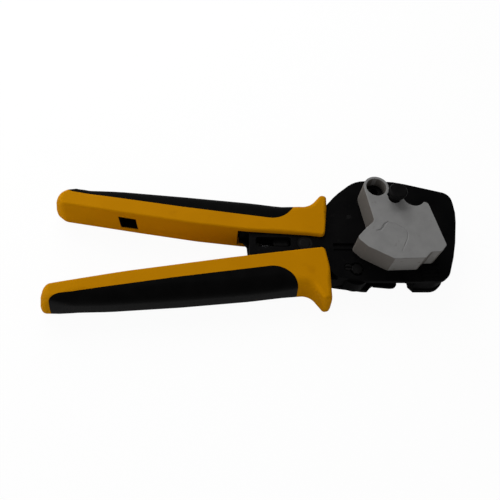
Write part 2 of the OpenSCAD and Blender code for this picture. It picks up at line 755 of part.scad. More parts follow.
module moving_jaw() {
    x1 = die_x - die_gap - die_t;
    color(steel) centred() difference() {
        jaw_open() difference() {
            slab(in_z0, in_z1) jaw_outline();
            above_toe();
            slab(web_z0, web_z1)
                for (y = [die_tab_low, die_tab_high])
                    translate([x1 - die_tab_l, y - die_tab / 2]) square([die_tab_l + cut, die_tab]);
            for (y = [die_tab_low, die_tab_high])
                rod([x1 - die_tab_l / 2, y], die_screw_r, in_z0 - cut, in_z1 + cut);
        }
        rod(jaw_at, jaw_bolt_r + run_clear, in_z0 - cut, in_z1 + cut);
        for (z = [[in_z0 - cut, web_z0], [web_z1, in_z1 + cut]])
            slab(z[0], z[1])
                link_outline(jaw_link_at, link_pocket, lever_link_at, link_pocket + 1.2);
        rod(jaw_link_at, link_pin_r, in_z0 - cut, in_z1 + cut);
        rod(jaw_spring_at, jaw_spring_pin_r, in_z0 - cut, in_z1 + cut);
        slab(mid_z - 2.5, mid_z + 2.5) union() {
            translate(jaw_spring_at) circle(r = spring_notch_r, $fn = 48);
            translate(jaw_spring_at + [-12, -spring_notch_r]) square([12, 12]);
        }
    }
}

module moving_die() {
    x1 = die_x - die_gap;
    color(steel_black) centred() jaw_open() difference() {
        union() {
            slab(in_z0, in_z1)
                polygon(rounded([[x1, die_y0 - 1.6, 3], [x1, die_y1, 0], [x1 - die_t, die_y1, 0],
                    [x1 - die_t, die_y0 - 2.4, 0]]));
            slab(web_z0, web_z1)
                for (y = [die_tab_low, die_tab_high])
                    translate([x1 - die_t - die_tab_l, y - die_tab / 2]) square([die_tab_l, die_tab]);
        }
        nests();
        above_toe();
        for (y = [die_tab_low, die_tab_high])
            rod([x1 - die_t - die_tab_l / 2, y], die_screw_r, in_z0 - cut, in_z1 + cut);
    }
}

module moving_die_screws() {
    color(spring_steel) centred() jaw_open() for (y = [die_tab_low, die_tab_high])
        die_screw([die_x - die_gap - die_t - die_tab_l / 2, y]);
}

module jaw_link_pin() {
    color(steel) centred() rod(jaw_link_at, link_pin_r, in_z0, in_z1);
}

jaw_spring_pin_r = 1.1;
module jaw_spring_pin() {
    color(steel) centred() rod(jaw_spring_at, jaw_spring_pin_r, in_z0, in_z1);
}

module jaw_return_spring() {
    color(spring_steel) centred() tension_spring(return_pin_at, jaw_spring_at, mid_z, return_wire_r,
        return_coil_r, return_pin_r + return_wire_r, jaw_spring_pin_r + return_wire_r, 9, 10);
}

// Toggle links: one plate on each side of the webs
link_r = 4;
module toggle_links() {
    color(steel) centred() difference() {
        union() {
            slab(in_z0, web_z0 - side_play) link_outline(jaw_link_at, link_r, lever_link_at, link_r);
            slab(web_z1 + side_play, in_z1) link_outline(jaw_link_at, link_r, lever_link_at, link_r);
        }
        rod(jaw_link_at, link_pin_r + run_clear, in_z0 - cut, in_z1 + cut);
        rod(lever_link_at, link_pin_r + link_clear, in_z0 - cut, in_z1 + cut);
    }
}

// Moving lever: hub, crank lobe, slotted sector and the arm inside the handle
hub_r = 8.5;
lobe_r = 4.6;
sector_r = 18.4;
sector_a0 = 143;
sector_a1 = 176;
segment_in_r = 11.5;
module sector(r0, r1, a0, a1) {
    polygon(concat(arc(lever_at, r1, a0, a1, 12), arc(lever_at, r0, a1, a0, 8)));
}

module lever_outline() {
    translate(lever_at) circle(r = hub_r, $fn = 72);
    sector(2, sector_r, sector_a0, sector_a1);
    on_moving() arm_outline();
    on_moving() polygon(rounded([[-17, 10, 0], [30, 10, 3], [38, arm_v, 4], [cavity_u, arm_v, 0],
        [cavity_u, arm_v + arm_w, 0], [30, 14.2, 20], [10, 17.6, 20], [-20, 20.6, 0]]));
}

module moving_lever() {
    color(steel) centred() difference() {
        union() {
            slab(in_z0, in_z1) lever_outline();
            slab(web_z0, web_z1) link_outline(lever_at, hub_r - 1, lever_link_at, lobe_r);
        }
        rod(lever_at, journal_r + run_clear, in_z0 - cut, in_z1 + cut);
        rod(lever_link_at, link_pin_r, in_z0 - cut, in_z1 + cut);
        slab(web_z0, web_z1) sector(segment_in_r, tooth_tip_r + 3, sector_a0 - 1, sector_a1 - 6);
        for (a = segment_rivet_angles) rod(segment_spot(a), segment_rivet_r, in_z0 - cut, in_z1 + cut);
        on_moving() for (u = dowel_spots) rod([u, arm_v + arm_w / 2], dowel_r, in_z0 - cut, in_z1 + cut);
    }
}

// Toothed segment, riveted in the lever's slot
tooth_a0 = 152.4;
segment_rivet_r = 1.4;
segment_rivet_angles = [150, 164];
function polar(r, a) = lever_at + r * [cos(a), sin(a)];
function segment_spot(a) = polar(15, a);
module ratchet_segment() {
    root = tooth_tip_r - tooth_h;
    teeth_end = tooth_a0 + tooth_count * tooth_pitch;
    color(spring_steel) centred() difference() {
        slab(web_z0, web_z1)
            polygon(concat(
                arc(lever_at, segment_in_r, sector_a1 - 6, sector_a0 - 1, 8),
                arc(lever_at, root - 1, sector_a0 - 1, tooth_a0 - 2, 3),
                [for (i = [0:tooth_count - 1])
                    each [polar(root, tooth_a0 + i * tooth_pitch),
                        polar(tooth_tip_r, tooth_a0 + (i + 0.5) * tooth_pitch)]],
                [polar(root, teeth_end)],
                arc(lever_at, root - 1, teeth_end + 2, sector_a1 - 6, 3)));
        for (a = segment_rivet_angles) rod(segment_spot(a), segment_rivet_r, web_z0 - cut, web_z1 + cut);
    }
}

module ratchet_rivets() {
    color(steel) centred()
        for (a = segment_rivet_angles) rod(segment_spot(a), segment_rivet_r, in_z0, in_z1);
}

module lever_link_pin() {
    color(steel) centred() rod(lever_link_at, link_pin_r, in_z0, in_z1);
}

// Moving handle: the plate tails swing into its hollow head end
module moving_handle_shell() {
    play_z0 = back_cheek - side_play;
    play_z1 = front_z + side_play;
    color(yellow) centred() on_moving() difference() {
        handle_form(moving_handle);
        grip_space(band_w);
        slab(play_z0, play_z1)
            polygon(rounded([[-14, -9, 0], [cavity_u, -9, 0], [cavity_u, 16.2, 1], [30, 16.4, 4],
                [8, 19, 8], [-14, 21.4, 0]]));
        slab(in_z0, in_z1) arm_outline();
        for (u = dowel_spots) rod([u, arm_v + arm_w / 2], dowel_r, gap_z0 - 2, gap_z1 + 2);
    }
}

module moving_handle_grip() {
    color(grip_black) centred() on_moving() handle_grip(moving_handle, band_w);
}

module moving_handle_dowels() {
    color(steel) centred() on_moving() handle_dowels();
}

// Locator block: it turns on the ring screw and clears the knob with two scallops
shoulder_r = 3.2;
washer_t = 0.6;
pad_rise = 0.4;
scallop_at = [88.6, 20.6];
scallop_r = 6.6;
knob_clear = 0.4;
locator_turn = 23;
module knob_path() {
    r = norm(knob_at - jaw_at);
    a = atan2(knob_at.y - jaw_at.y, knob_at.x - jaw_at.x);
    w = shank_r + knob_clear;
    polygon(concat(arc(jaw_at, r + w, a, a + locator_turn, 12),
        arc(jaw_at, r - w, a + locator_turn, a, 12)));
}

module locator_outline() {
    difference() {
        union() {
            translate(jaw_at) circle(r = ring_r, $fn = 96);
            polygon(rounded([[59.4, 26, 0], [62.6, 3.4, 3], [57.6, -1, 5], [51.4, -7.6, 2], [56.8, -13.2, 4],
                [70.8, -20.9, 3], [88.6, -20.2, 2], [92.2, -16.4, 3], [98.4, -16.2, 3], [102, -12, 1.5],
                [96.4, 16.2, 2.5], [82.6, 19, 1], [73.4, 19, 0], [72.4, 24, 0]]));
        }
        translate(knob_at) circle(r = shank_r + knob_clear, $fn = 48);
        knob_path();
        translate(scallop_at) circle(r = scallop_r, $fn = 64);
    }
}

module locator_pad() {
    polygon(rounded([[62.8, -3, 0], [66, -3, 2], [68, 1.6, 2], [71, 2.6, 2], [79.6, 0.8, 3], [81.8, -3.4, 3],
        [79.6, -10.4, 8], [74, -19.4, 0], [70.8, -19.6, 2], [57.4, -12.2, 3], [53.4, -7.4, 2]]));
}

module locator_block() {
    z1 = locator_z + locator_h;
    color(locator_grey) centred() difference() {
        union() {
            slab(locator_z, z1 - pad_rise) locator_outline();
            slab(z1 - pad_rise, z1) {
                locator_pad();
                translate(jaw_at) circle(r = ring_r - 0.2, $fn = 96);
            }
        }
        rod(jaw_at, ring_bore_r, locator_z + ring_floor, z1 + cut, 96);
        rod(jaw_at, shoulder_r + run_clear, locator_z - cut, z1);
        rod(nest_big_at - [2, 1.3], nest_big_r + 0.4, locator_z - cut, z1 - 4);
        rod(nest_small_at - [1.6, 1], nest_small_r + 0.4, locator_z - cut, z1 - 4);
    }
}

// Shoulder screw down the ring's bore, with a socket in its head
module locator_screw() {
    head_z = locator_z + ring_floor + run_clear + washer_t;
    color(steel_black) centred() difference() {
        union() {
            rod(jaw_at, screw_thread_r, front_z - screw_depth + 1, front_z);
            rod(jaw_at, shoulder_r, front_z, head_z);
            rod(jaw_at, ring_screw_r, head_z, head_z + 5);
        }
        rod(jaw_at, 2.6, head_z + 2, head_z + 5 + cut, 6);
    }
}

module locator_washer() {
    z0 = locator_z + ring_floor + run_clear;
    color(steel_black) centred() difference() {
        rod(jaw_at, ring_screw_r + 0.4, z0, z0 + washer_t);
        rod(jaw_at, shoulder_r, z0 - cut, z0 + washer_t + cut);
    }
}

// Bushing of the sprung knob, pressed in the front plate
bush_drop = 1.6;
bush_flange_t = 0.6;
module knob_bushing() {
    color(steel) centred() difference() {
        union() {
            rod(knob_at, bush_r, gap_z1 - bush_drop, front_z);
            rod(knob_at, shank_r, front_z, front_z + bush_flange_t);
        }
        rod(knob_at, stem_r + run_clear, gap_z1 - bush_drop - cut, front_z + bush_flange_t + cut);
    }
}

clip_t = 1;
clip_z = in_z0 + 0.6;
module lock_knob() {
    top = front_z + knob_h;
    color(steel_black) centred() union() {
        rod(knob_at, stem_r, clip_z - 0.3, front_z + bush_flange_t);
        rod(knob_at, shank_r, front_z + bush_flange_t, top - knob_head_t);
        rod(knob_at, knob_r, top - knob_head_t, top - 0.6);
        translate([knob_at.x, knob_at.y, top - 0.6])
            cylinder(h = 0.6, r1 = knob_r, r2 = knob_r - 0.6, $fn = 64);
    }
}

module knob_clip() {
    color(steel) centred() difference() {
        rod(knob_at, stem_r + 1, clip_z, clip_z + clip_t);
        rod(knob_at, stem_r, clip_z - cut, clip_z + clip_t + cut);
    }
}

module knob_spring() {
    z0 = clip_z + clip_t;
    z1 = gap_z1 - bush_drop;
    r = 0.25;
    coil_r = stem_r + 0.6;
    turns = 5;
    steps = 12;
    color(spring_steel) centred() wire([for (i = [0:turns * steps])
        [knob_at.x + coil_r * cos(360 * i / steps), knob_at.y + coil_r * sin(360 * i / steps),
            z0 + r + (z1 - z0 - 2 * r) * i / (turns * steps)]], r);
}

front_frame_plate();
back_frame_plate();
fixed_jaw();
fixed_die();
fixed_die_screws();
frame_rivets();
jaw_pivot_bolt();
jaw_pivot_nut();
eccentric_shaft();
eccentric_circlip();
adjuster_lock_screw();
handle_tang();
tang_rivets();
fixed_handle_shell();
fixed_handle_grip();
fixed_handle_dowels();
pawl_pin();
pawl_spacers();
pawl_spring_pin();
return_spring_pin();
locator_screw();
locator_washer();
knob_bushing();
pawl();
pawl_spring();
moving_jaw();
moving_die();
moving_die_screws();
jaw_link_pin();
jaw_spring_pin();
jaw_return_spring();
toggle_links();
moving_lever();
ratchet_segment();
ratchet_rivets();
lever_link_pin();
moving_handle_shell();
moving_handle_grip();
moving_handle_dowels();
locator_block();
lock_knob();
knob_clip();
knob_spring();
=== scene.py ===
"""Looks of the ratchet crimping tool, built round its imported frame."""

from __future__ import annotations

import json
import logging
import math
from collections.abc import Iterable, Sequence
from dataclasses import dataclass, field, replace
from enum import Enum

import bmesh
import bpy
from mathutils import Matrix, Vector

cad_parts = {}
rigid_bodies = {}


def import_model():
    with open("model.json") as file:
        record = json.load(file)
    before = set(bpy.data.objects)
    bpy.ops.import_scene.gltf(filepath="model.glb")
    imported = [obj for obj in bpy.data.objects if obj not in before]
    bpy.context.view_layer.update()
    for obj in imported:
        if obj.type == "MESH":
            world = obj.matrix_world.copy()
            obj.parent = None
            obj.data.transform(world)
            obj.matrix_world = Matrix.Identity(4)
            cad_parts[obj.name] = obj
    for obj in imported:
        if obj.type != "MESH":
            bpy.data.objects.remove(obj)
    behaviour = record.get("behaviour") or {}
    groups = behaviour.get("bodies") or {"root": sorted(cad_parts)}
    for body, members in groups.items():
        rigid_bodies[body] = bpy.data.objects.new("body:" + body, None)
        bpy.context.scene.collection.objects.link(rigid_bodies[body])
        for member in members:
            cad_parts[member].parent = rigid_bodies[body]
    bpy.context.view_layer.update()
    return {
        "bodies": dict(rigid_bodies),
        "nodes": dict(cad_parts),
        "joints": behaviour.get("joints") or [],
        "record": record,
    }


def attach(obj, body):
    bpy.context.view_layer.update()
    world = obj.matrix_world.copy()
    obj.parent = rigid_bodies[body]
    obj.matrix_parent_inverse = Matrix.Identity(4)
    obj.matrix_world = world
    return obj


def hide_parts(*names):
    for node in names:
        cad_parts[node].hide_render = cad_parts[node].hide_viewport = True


log = logging.getLogger("crimping_tool")

Rgb = tuple[float, float, float]
Flat = tuple[float, float]
Corner = tuple[float, float, float]
Piece = bpy.types.Object
Socket = bpy.types.NodeSocket

MM = 0.001

# Patterns: octaves of each noise, the part of its range that is used, and the grain's strength
CLOUD_DETAIL, GRAIN_DETAIL, MARK_DETAIL = 4.0, 2.0, 5.0
CLOUD_STOPS = (0.32, 0.68)
PATTERN_MIDDLE = (0.3, 0.7)
GRAIN_STRENGTH = 0.5
BLACK, WHITE = (0, 0, 0), (1, 1, 1)
# Upright share of a normal, between a wall and a level face
WALL_BAND = (0.25, 0.75)

# Meshes: distances in metres, angles in degrees
MERGE, MERGE_LEVEL = 0.000002, 0.000005
LEVEL_ANGLE = 0.5
SHARP_ANGLE = 38.0
SMOOTH_ANGLE = 35.0
NORMAL_WEIGHT = 80
ROD_SIDES = 96
# Steps in a metre, by which two places count as the same
GRID = 1e7
# Most of an edge that the arc at a corner takes up
ARC_SHARE = 0.48
# Least cosine that a mitre is drawn with, so that it stays short at a sharp corner
LEAST_MITRE = 0.6


class Slot(Enum):
    """The record's material slots."""

    BLACK = "black_steel"
    BRIGHT = "bright_steel"
    SPRING = "spring_steel"
    SHELL = "yellow_shell"
    GRIP = "black_grip"
    ALLOY = "locator_alloy"


class Cut(Enum):
    """How a cutter acts on a piece."""

    AWAY = "DIFFERENCE"
    KEEP = "INTERSECT"


class Nodes:
    """A small builder for one material's node tree."""

    def __init__(self, name: str) -> None:
        """Starts an empty material with a principled shader and Object coordinates.

        Args:
            name: the material's name.
        """
        self.material = bpy.data.materials.new(name)
        self.material.use_nodes = True
        self.tree = self.material.node_tree
        self.shader = self.tree.nodes["Principled BSDF"]
        self.place = self.add("ShaderNodeTexCoord").outputs["Object"]

    def add(self, kind: str, **settings: object) -> bpy.types.Node:
        """Adds a node.

        Args:
            kind: the node's type name.
            settings: attributes to set on it.

        Returns:
            The new node.
        """
        node = self.tree.nodes.new(kind)
        for key, value in settings.items():
            setattr(node, key, value)
        return node

    def link(self, source: Socket, target: Socket) -> None:
        """Joins two sockets."""
        self.tree.links.new(source, target)

    def noise(self, scale: float, detail: float, stretch: Rgb = (1, 1, 1)) -> Socket:
        """Adds a noise pattern.

        Args:
            scale: cells per metre.
            detail: number of octaves.
            stretch: scale along each axis.

        Returns:
            The pattern's value.
        """
        mapping = self.add("ShaderNodeMapping")
        mapping.inputs["Scale"].default_value = stretch
        self.link(self.place, mapping.inputs["Vector"])
        pattern = self.add("ShaderNodeTexNoise")
        pattern.inputs["Scale"].default_value = scale
        pattern.inputs["Detail"].default_value = detail
        self.link(mapping.outputs["Vector"], pattern.inputs["Vector"])
        return pattern.outputs["Fac"]

    def ramp(self, value: Socket, places: Flat, colours: tuple[Rgb, Rgb]) -> Socket:
        """Maps a value to a colour between two.

        Args:
            value: the value to map.
            places: where the first colour ends and where the second begins.
            colours: the two colours.

        Returns:
            The colour.
        """
        node = self.add("ShaderNodeValToRGB")
        for element, place, colour in zip(node.color_ramp.elements, places, colours, strict=True):
            element.position = place
            element.color = (*colour, 1.0)
        self.link(value, node.inputs["Fac"])
        return node.outputs["Color"]

    def remap(self, value: Socket, source: Flat, target: Flat) -> Socket:
        """Maps one range of a value to another.

        Args:
            value: the value to map.
            source: the two ends of the range that is read.
            target: what the two ends become.

        Returns:
            The mapped value.
        """
        node = self.add("ShaderNodeMapRange")
        names = ("From Min", "From Max", "To Min", "To Max")
        for name, number in zip(names, (*source, *target), strict=True):
            node.inputs[name].default_value = number
        self.link(value, node.inputs["Value"])
        return node.outputs["Result"]

    def maths(self, operation: str, *values: Socket | float) -> Socket:
        """Adds a maths node.

        Args:
            operation: what the node does.
            values: its inputs, each a socket or a number.

        Returns:
            The result.
        """
        node = self.add("ShaderNodeMath", operation=operation)
        for socket, value in zip(node.inputs, values):
            if isinstance(value, float):
                socket.default_value = value
            else:
                self.link(value, socket)
        return node.outputs[0]

    def blend(self, share: Socket, first: Socket, second: Rgb) -> Socket:
        """Mixes a second colour over the first.

        Args:
            share: how much of the second colour shows.
            first: the first colour.
            second: the second colour.

        Returns:
            The mixed colour.
        """
        node = self.add("ShaderNodeMix", data_type="RGBA")
        self.link(share, node.inputs[0])
        self.link(first, node.inputs[6])
        node.inputs[7].default_value = (*second, 1.0)
        return node.outputs[2]

    def steepness(self) -> Socket:
        """Tells walls from level faces by the surface's own normal.

        Returns:
            1 on an upright wall and 0 on a level face.
        """
        axes = self.add("ShaderNodeSeparateXYZ")
        self.link(self.add("ShaderNodeNewGeometry").outputs["Normal"], axes.inputs["Vector"])
        return self.remap(self.maths("ABSOLUTE", axes.outputs["Z"]), WALL_BAND, (1.0, 0.0))

    def bump(self, value: Socket, depth: float, strength: float) -> None:
        """Raises the surface by a pattern.

        Args:
            value: the pattern.
            depth: its height in metres.
            strength: how far it bends the normal.
        """
        node = self.add("ShaderNodeBump")
        node.inputs["Strength"].default_value = strength
        node.inputs["Distance"].default_value = depth
        self.link(value, node.inputs["Height"])
        self.link(node.outputs["Normal"], self.shader.inputs["Normal"])


@dataclass(frozen=True)
class Finish:
    """A metal or plastic finish: a colour that wanders a little, with its own gloss and marks."""

    name: str
    slot: Slot
    dark: Rgb
    light: Rgb
    rough: Flat
    metal: float = 0.0
    specular: float = 0.5
    mottle: float = 60.0
    grain: float = 1800.0
    grain_depth: float = 0.00002
    stretch: Rgb = (1.0, 1.0, 1.0)
    # Colour of upright walls, blended in by the normal: it paints shade on the alloy's walls and
    # light on its front walls
    side: Rgb | None = None
    side_specular: float | None = None
    mark: Rgb | None = None
    mark_scale: float = 300.0
    mark_share: Flat = (0.66, 0.76)

    def material(self) -> bpy.types.Material:
        """Builds the finish's material.

        Returns:
            The material.
        """
        n = Nodes(self.name)
        cloud = n.noise(self.mottle, CLOUD_DETAIL, self.stretch)
        fine = n.noise(self.grain, GRAIN_DETAIL, self.stretch)
        colour = n.ramp(cloud, CLOUD_STOPS, (self.dark, self.light))
        # Upright walls take the side colour: painted shade, and painted light on the locator's
        # front walls
        if self.side:
            colour = n.blend(n.steepness(), colour, self.side)
        if self.mark:
            pattern = n.noise(self.mark_scale, MARK_DETAIL)
            colour = n.blend(n.ramp(pattern, self.mark_share, (BLACK, WHITE)), colour, self.mark)
        n.link(colour, n.shader.inputs["Base Color"])
        n.link(n.remap(fine, PATTERN_MIDDLE, self.rough), n.shader.inputs["Roughness"])
        n.shader.inputs["Metallic"].default_value = self.metal
        gloss = n.shader.inputs["Specular IOR Level"]
        if self.side_specular is None:
            gloss.default_value = self.specular
        else:
            ends = (self.specular, self.side_specular)
            n.link(n.remap(n.steepness(), (0.0, 1.0), ends), gloss)
        n.bump(fine, self.grain_depth, GRAIN_STRENGTH)
        return n.material


OXIDE = Finish(
    "black_oxide", Slot.BLACK, (0.0014, 0.0014, 0.0016), (0.003, 0.0029, 0.003), (0.4, 0.52),
    specular=0.022, side_specular=0.003, mottle=70, mark=(0.006, 0.0058, 0.0056), mark_scale=420)
WORN = Finish(
    "worn_oxide", Slot.BLACK, (0.0032, 0.0031, 0.0031), (0.0058, 0.0056, 0.0056), (0.36, 0.48),
    specular=0.035, mottle=180, mark=(0.011, 0.0105, 0.01), mark_scale=700)
GROUND = Finish(
    "ground_steel", Slot.BRIGHT, (0.09, 0.088, 0.085), (0.15, 0.148, 0.145), (0.3, 0.45),
    metal=1.0, mottle=200, stretch=(1, 6, 1))
SPRING = Finish(
    "spring_wire", Slot.SPRING, (0.12, 0.12, 0.12), (0.2, 0.2, 0.21), (0.22, 0.36), metal=1.0)
YELLOW = Finish(
    "yellow_shell", Slot.SHELL, (0.447, 0.182, 0.0003), (0.478, 0.198, 0.0006), (0.4, 0.5),
    specular=0.006, side_specular=0.001, mottle=38, grain=2400, grain_depth=0.00003,
    mark=(0.42, 0.168, 0.0006), mark_scale=120, mark_share=(0.6, 0.8))
RUBBER = Finish(
    "soft_grip", Slot.GRIP, (0.0014, 0.0014, 0.0014), (0.0026, 0.0025, 0.0025), (0.52, 0.68),
    specular=0.018, mottle=110, grain=3000, grain_depth=0.00006)
# The alloy's walls take a darker, warmer side colour: the warm tone is the walls' own, the
# darkening is painted shade
ALLOY = Finish(
    "locator_alloy", Slot.ALLOY, (0.19, 0.189, 0.187), (0.216, 0.215, 0.212), (0.5, 0.62),
    specular=0.08, mottle=140, grain=2600, grain_depth=0.00004, side=(0.108, 0.099, 0.09),
    mark=(0.125, 0.117, 0.107), mark_scale=230, mark_share=(0.66, 0.82))
# Front walls of the locator: a lighter wall colour as painted light, with real brownish smudges
FRONT_LIGHT_AND_SMUDGES = replace(
    ALLOY, name="alloy_front_light_and_smudges", side=(0.186, 0.18, 0.172), mark=(0.1, 0.078, 0.06),
    mark_scale=330, mark_share=(0.6, 0.78))
FINISHES = {finish.slot: finish for finish in (OXIDE, GROUND, SPRING, YELLOW, RUBBER, ALLOY)}


class Bench:
    """Modelling steps on one object at a time, through Blender's own operators."""

    @staticmethod
    def clear() -> None:
        """Leaves edit mode and deselects every object."""
        if bpy.context.mode != "OBJECT":
            bpy.ops.object.mode_set(mode="OBJECT")
        bpy.ops.object.select_all(action="DESELECT")

    @staticmethod
    def pick(piece: Piece) -> None:
        """Deselects everything and makes one piece active.

        Args:
            piece: the piece.
        """
        Bench.clear()
        piece.select_set(True)
        bpy.context.view_layer.objects.active = piece

    @staticmethod
    def edit(piece: Piece) -> None:
        """Opens a piece in edit mode with its whole mesh selected.

        Args:
            piece: the piece.
        """
        Bench.pick(piece)
        bpy.ops.object.mode_set(mode="EDIT")
        bpy.ops.mesh.select_all(action="SELECT")

    @staticmethod
    def close_form() -> None:
        """Turns the faces of the edited form outwards and leaves edit mode."""
        bpy.ops.mesh.select_all(action="SELECT")
        bpy.ops.mesh.normals_make_consistent(inside=False)
        bpy.ops.object.mode_set(mode="OBJECT")

    @staticmethod
    def modify(piece: Piece, kind: str, **settings: object) -> None:
        """Adds a modifier to a piece and applies it.

        Args:
            piece: the piece.
            kind: the modifier's type name.
            settings: attributes to set on it.
        """
        Bench.pick(piece)
        step = piece.modifiers.new(kind.lower(), kind)
        for key, value in settings.items():
            setattr(step, key, value)
        bpy.ops.object.modifier_apply(modifier=step.name)

    @staticmethod
    def ring(name: str, points: Sequence[Flat], z: float) -> Piece:
        """Adds a circle and moves its points onto an outline.

        Args:
            name: the new object's name.
            points: the outline, in metres.
            z: its level.

        Returns:
            The object, in edit mode with its loop selected.
        """
        Bench.clear()
        bpy.ops.mesh.primitive_circle_add(vertices=len(points), location=(0, 0, 0))
        piece = bpy.context.active_object
        piece.name = name
        for vertex, point in zip(piece.data.vertices, points, strict=True):
            vertex.co = (point[0], point[1], z)
        Bench.edit(piece)
        return piece

    @staticmethod
    def next_ring(piece: Piece, points: Sequence[Flat], before: Sequence[Flat],
                  rise: float) -> None:
        """Extrudes the selected loop upwards and moves it onto the next outline.

        Args:
            piece: the object in edit mode.
            points: the next outline.
            before: the outline that is selected, in the same order.
            rise: how far up the next level lies.
        """
        def key(x: float, y: float) -> tuple[int, int]:
            """Rounds a place, so that a number's last digits don't matter."""
            return round(x * GRID), round(y * GRID)

        bpy.ops.mesh.extrude_region_move(TRANSFORM_OT_translate={"value": (0, 0, rise)})
        mesh = bmesh.from_edit_mesh(piece.data)
        pairs = list(zip(before, points, strict=True))
        target = {key(*old): new for old, new in pairs}
        for vertex in [v for v in mesh.verts if v.select]:
            x, y = vertex.co.x, vertex.co.y
            near = target.get(key(x, y))
            if near is None:
                near = min(pairs, key=lambda pair: abs(pair[0][0] - x) + abs(pair[0][1] - y))[1]
            vertex.co.x, vertex.co.y = near
        bmesh.update_edit_mesh(piece.data)

    @staticmethod
    def prism(name: str, points: Sequence[Flat], z0: float, z1: float) -> Piece:
        """Makes an upright block with the given outline.

        Args:
            name: the object's name.
            points: the outline, in metres.
            z0: the lower level.
            z1: the upper level.

        Returns:
            The block.
        """
        piece = Bench.ring(name, points, z0)
        bpy.ops.mesh.edge_face_add()
        bpy.ops.mesh.extrude_region_move(TRANSFORM_OT_translate={"value": (0, 0, z1 - z0)})
        Bench.close_form()
        return piece

    @staticmethod
    def rod(name: str, at: Flat, radius: float, z0: float, z1: float) -> Piece:
        """Makes an upright rod.

        Args:
            name: the object's name.
            at: its axis, in metres.
            radius: its radius in metres.
            z0: the lower level.
            z1: the upper level.

        Returns:
            The rod.
        """
        Bench.clear()
        bpy.ops.mesh.primitive_cylinder_add(
            vertices=ROD_SIDES, radius=radius, depth=z1 - z0, location=(*at, (z0 + z1) / 2))
        piece = bpy.context.active_object
        piece.name = name
        return piece

    @staticmethod
    def cut(piece: Piece, cutter: Piece, how: Cut) -> None:
        """Cuts a piece with another one, which is used up.

        Args:
            piece: what is cut.
            cutter: the shape of the cut.
            how: whether the overlap goes or stays.
        """
        Bench.modify(piece, "BOOLEAN", operation=how.value, solver="EXACT", object=cutter)
        bpy.data.objects.remove(cutter, do_unlink=True)

    @staticmethod
    def copy_node(frame: dict, node: str) -> Piece:
        """Copies a frame node and merges its loose triangles.

        Args:
            frame: the loaded frame.
            node: the node's name.

        Returns:
            The copy.
        """
        source = frame["nodes"][node]
        piece = bpy.data.objects.new(f"{node}_look", source.data.copy())
        bpy.context.scene.collection.objects.link(piece)
        piece.data.materials.clear()
        Bench.pick(piece)
        if piece.data.has_custom_normals:
            bpy.ops.mesh.customdata_custom_splitnormals_clear()
        Bench.edit(piece)
        bpy.ops.mesh.remove_doubles(threshold=MERGE)
        bpy.ops.object.mode_set(mode="OBJECT")
        return piece

    @staticmethod
    def merge_level(piece: Piece) -> None:
        """Joins faces that lie in one plane.

        Args:
            piece: the piece.
        """
        Bench.edit(piece)
        bpy.ops.mesh.remove_doubles(threshold=MERGE_LEVEL)
        bpy.ops.mesh.dissolve_limited(angle_limit=math.radians(LEVEL_ANGLE))
        bpy.ops.object.mode_set(mode="OBJECT")

    @staticmethod
    def soften(piece: Piece, width: float, segments: int = 2) -> None:
        """Breaks the sharp edges of a piece.

        Args:
            piece: the piece.
            width: the bevel's width in metres.
            segments: its number of steps.
        """
        Bench.modify(piece, "BEVEL", width=width, segments=segments, limit_method="ANGLE",
                     angle_limit=math.radians(SHARP_ANGLE), use_clamp_overlap=False)

    @staticmethod
    def smooth(piece: Piece, angle: float = SMOOTH_ANGLE) -> None:
        """Shades a piece smooth, apart from edges sharper than the angle.

        Args:
            piece: the piece.
            angle: the angle in degrees.
        """
        Bench.pick(piece)
        bpy.ops.object.shade_smooth_by_angle(angle=math.radians(angle))
        Bench.modify(piece, "WEIGHTED_NORMAL", keep_sharp=True, weight=NORMAL_WEIGHT)


def unit(a: Flat, b: Flat) -> Flat:
    """Returns the unit vector from a to b."""
    length = math.hypot(b[0] - a[0], b[1] - a[1])
    return ((b[0] - a[0]) / length, (b[1] - a[1]) / length)


def clamp01(value: float) -> float:
    """Limits a value to 0..1."""
    return max(0.0, min(1.0, value))


def metres(points: Iterable[Flat]) -> list[Flat]:
    """Turns an outline from millimetres into metres."""
    return [(x * MM, y * MM) for x, y in points]


def rectangle(u0: float, u1: float, v0: float, v1: float) -> list[Corner]:
    """Returns the sharp corners of a rectangle."""
    return [(u0, v0, 0), (u1, v0, 0), (u1, v1, 0), (u0, v1, 0)]


def rounded(corners: Sequence[Corner], step: float = 6.0) -> list[Flat]:
    """Rounds the corners of an outline.

    Args:
        corners: x, y and radius of each corner.
        step: the angle between an arc's points, in degrees.

    Returns:
        The outline's points.
    """
    points: list[Flat] = []
    for i, (bx, by, radius) in enumerate(corners):
        if radius <= 0:
            points.append((bx, by))
            continue
        a, b, c = corners[i - 1][:2], (bx, by), corners[(i + 1) % len(corners)][:2]
        u, v = unit(b, a), unit(b, c)
        half = math.acos(max(-1.0, min(1.0, u[0] * v[0] + u[1] * v[1]))) / 2
        room = min(ARC_SHARE * math.dist(a, b), ARC_SHARE * math.dist(c, b))
        reach = min(radius / math.tan(half), room)
        rr = reach * math.tan(half)
        out = math.hypot(u[0] + v[0], u[1] + v[1])
        mx = bx + (u[0] + v[0]) / out * rr / math.sin(half)
        my = by + (u[1] + v[1]) / out * rr / math.sin(half)
        start = math.atan2(by + u[1] * reach - my, bx + u[0] * reach - mx)
        turn = -1 if u[0] * v[1] - u[1] * v[0] > 0 else 1
        sweep = math.pi - 2 * half
        steps = max(1, math.ceil(math.degrees(sweep) / step))
        angles = [start + turn * k * sweep / steps for k in range(steps + 1)]
        points += [(mx + rr * math.cos(t), my + rr * math.sin(t)) for t in angles]
    return points


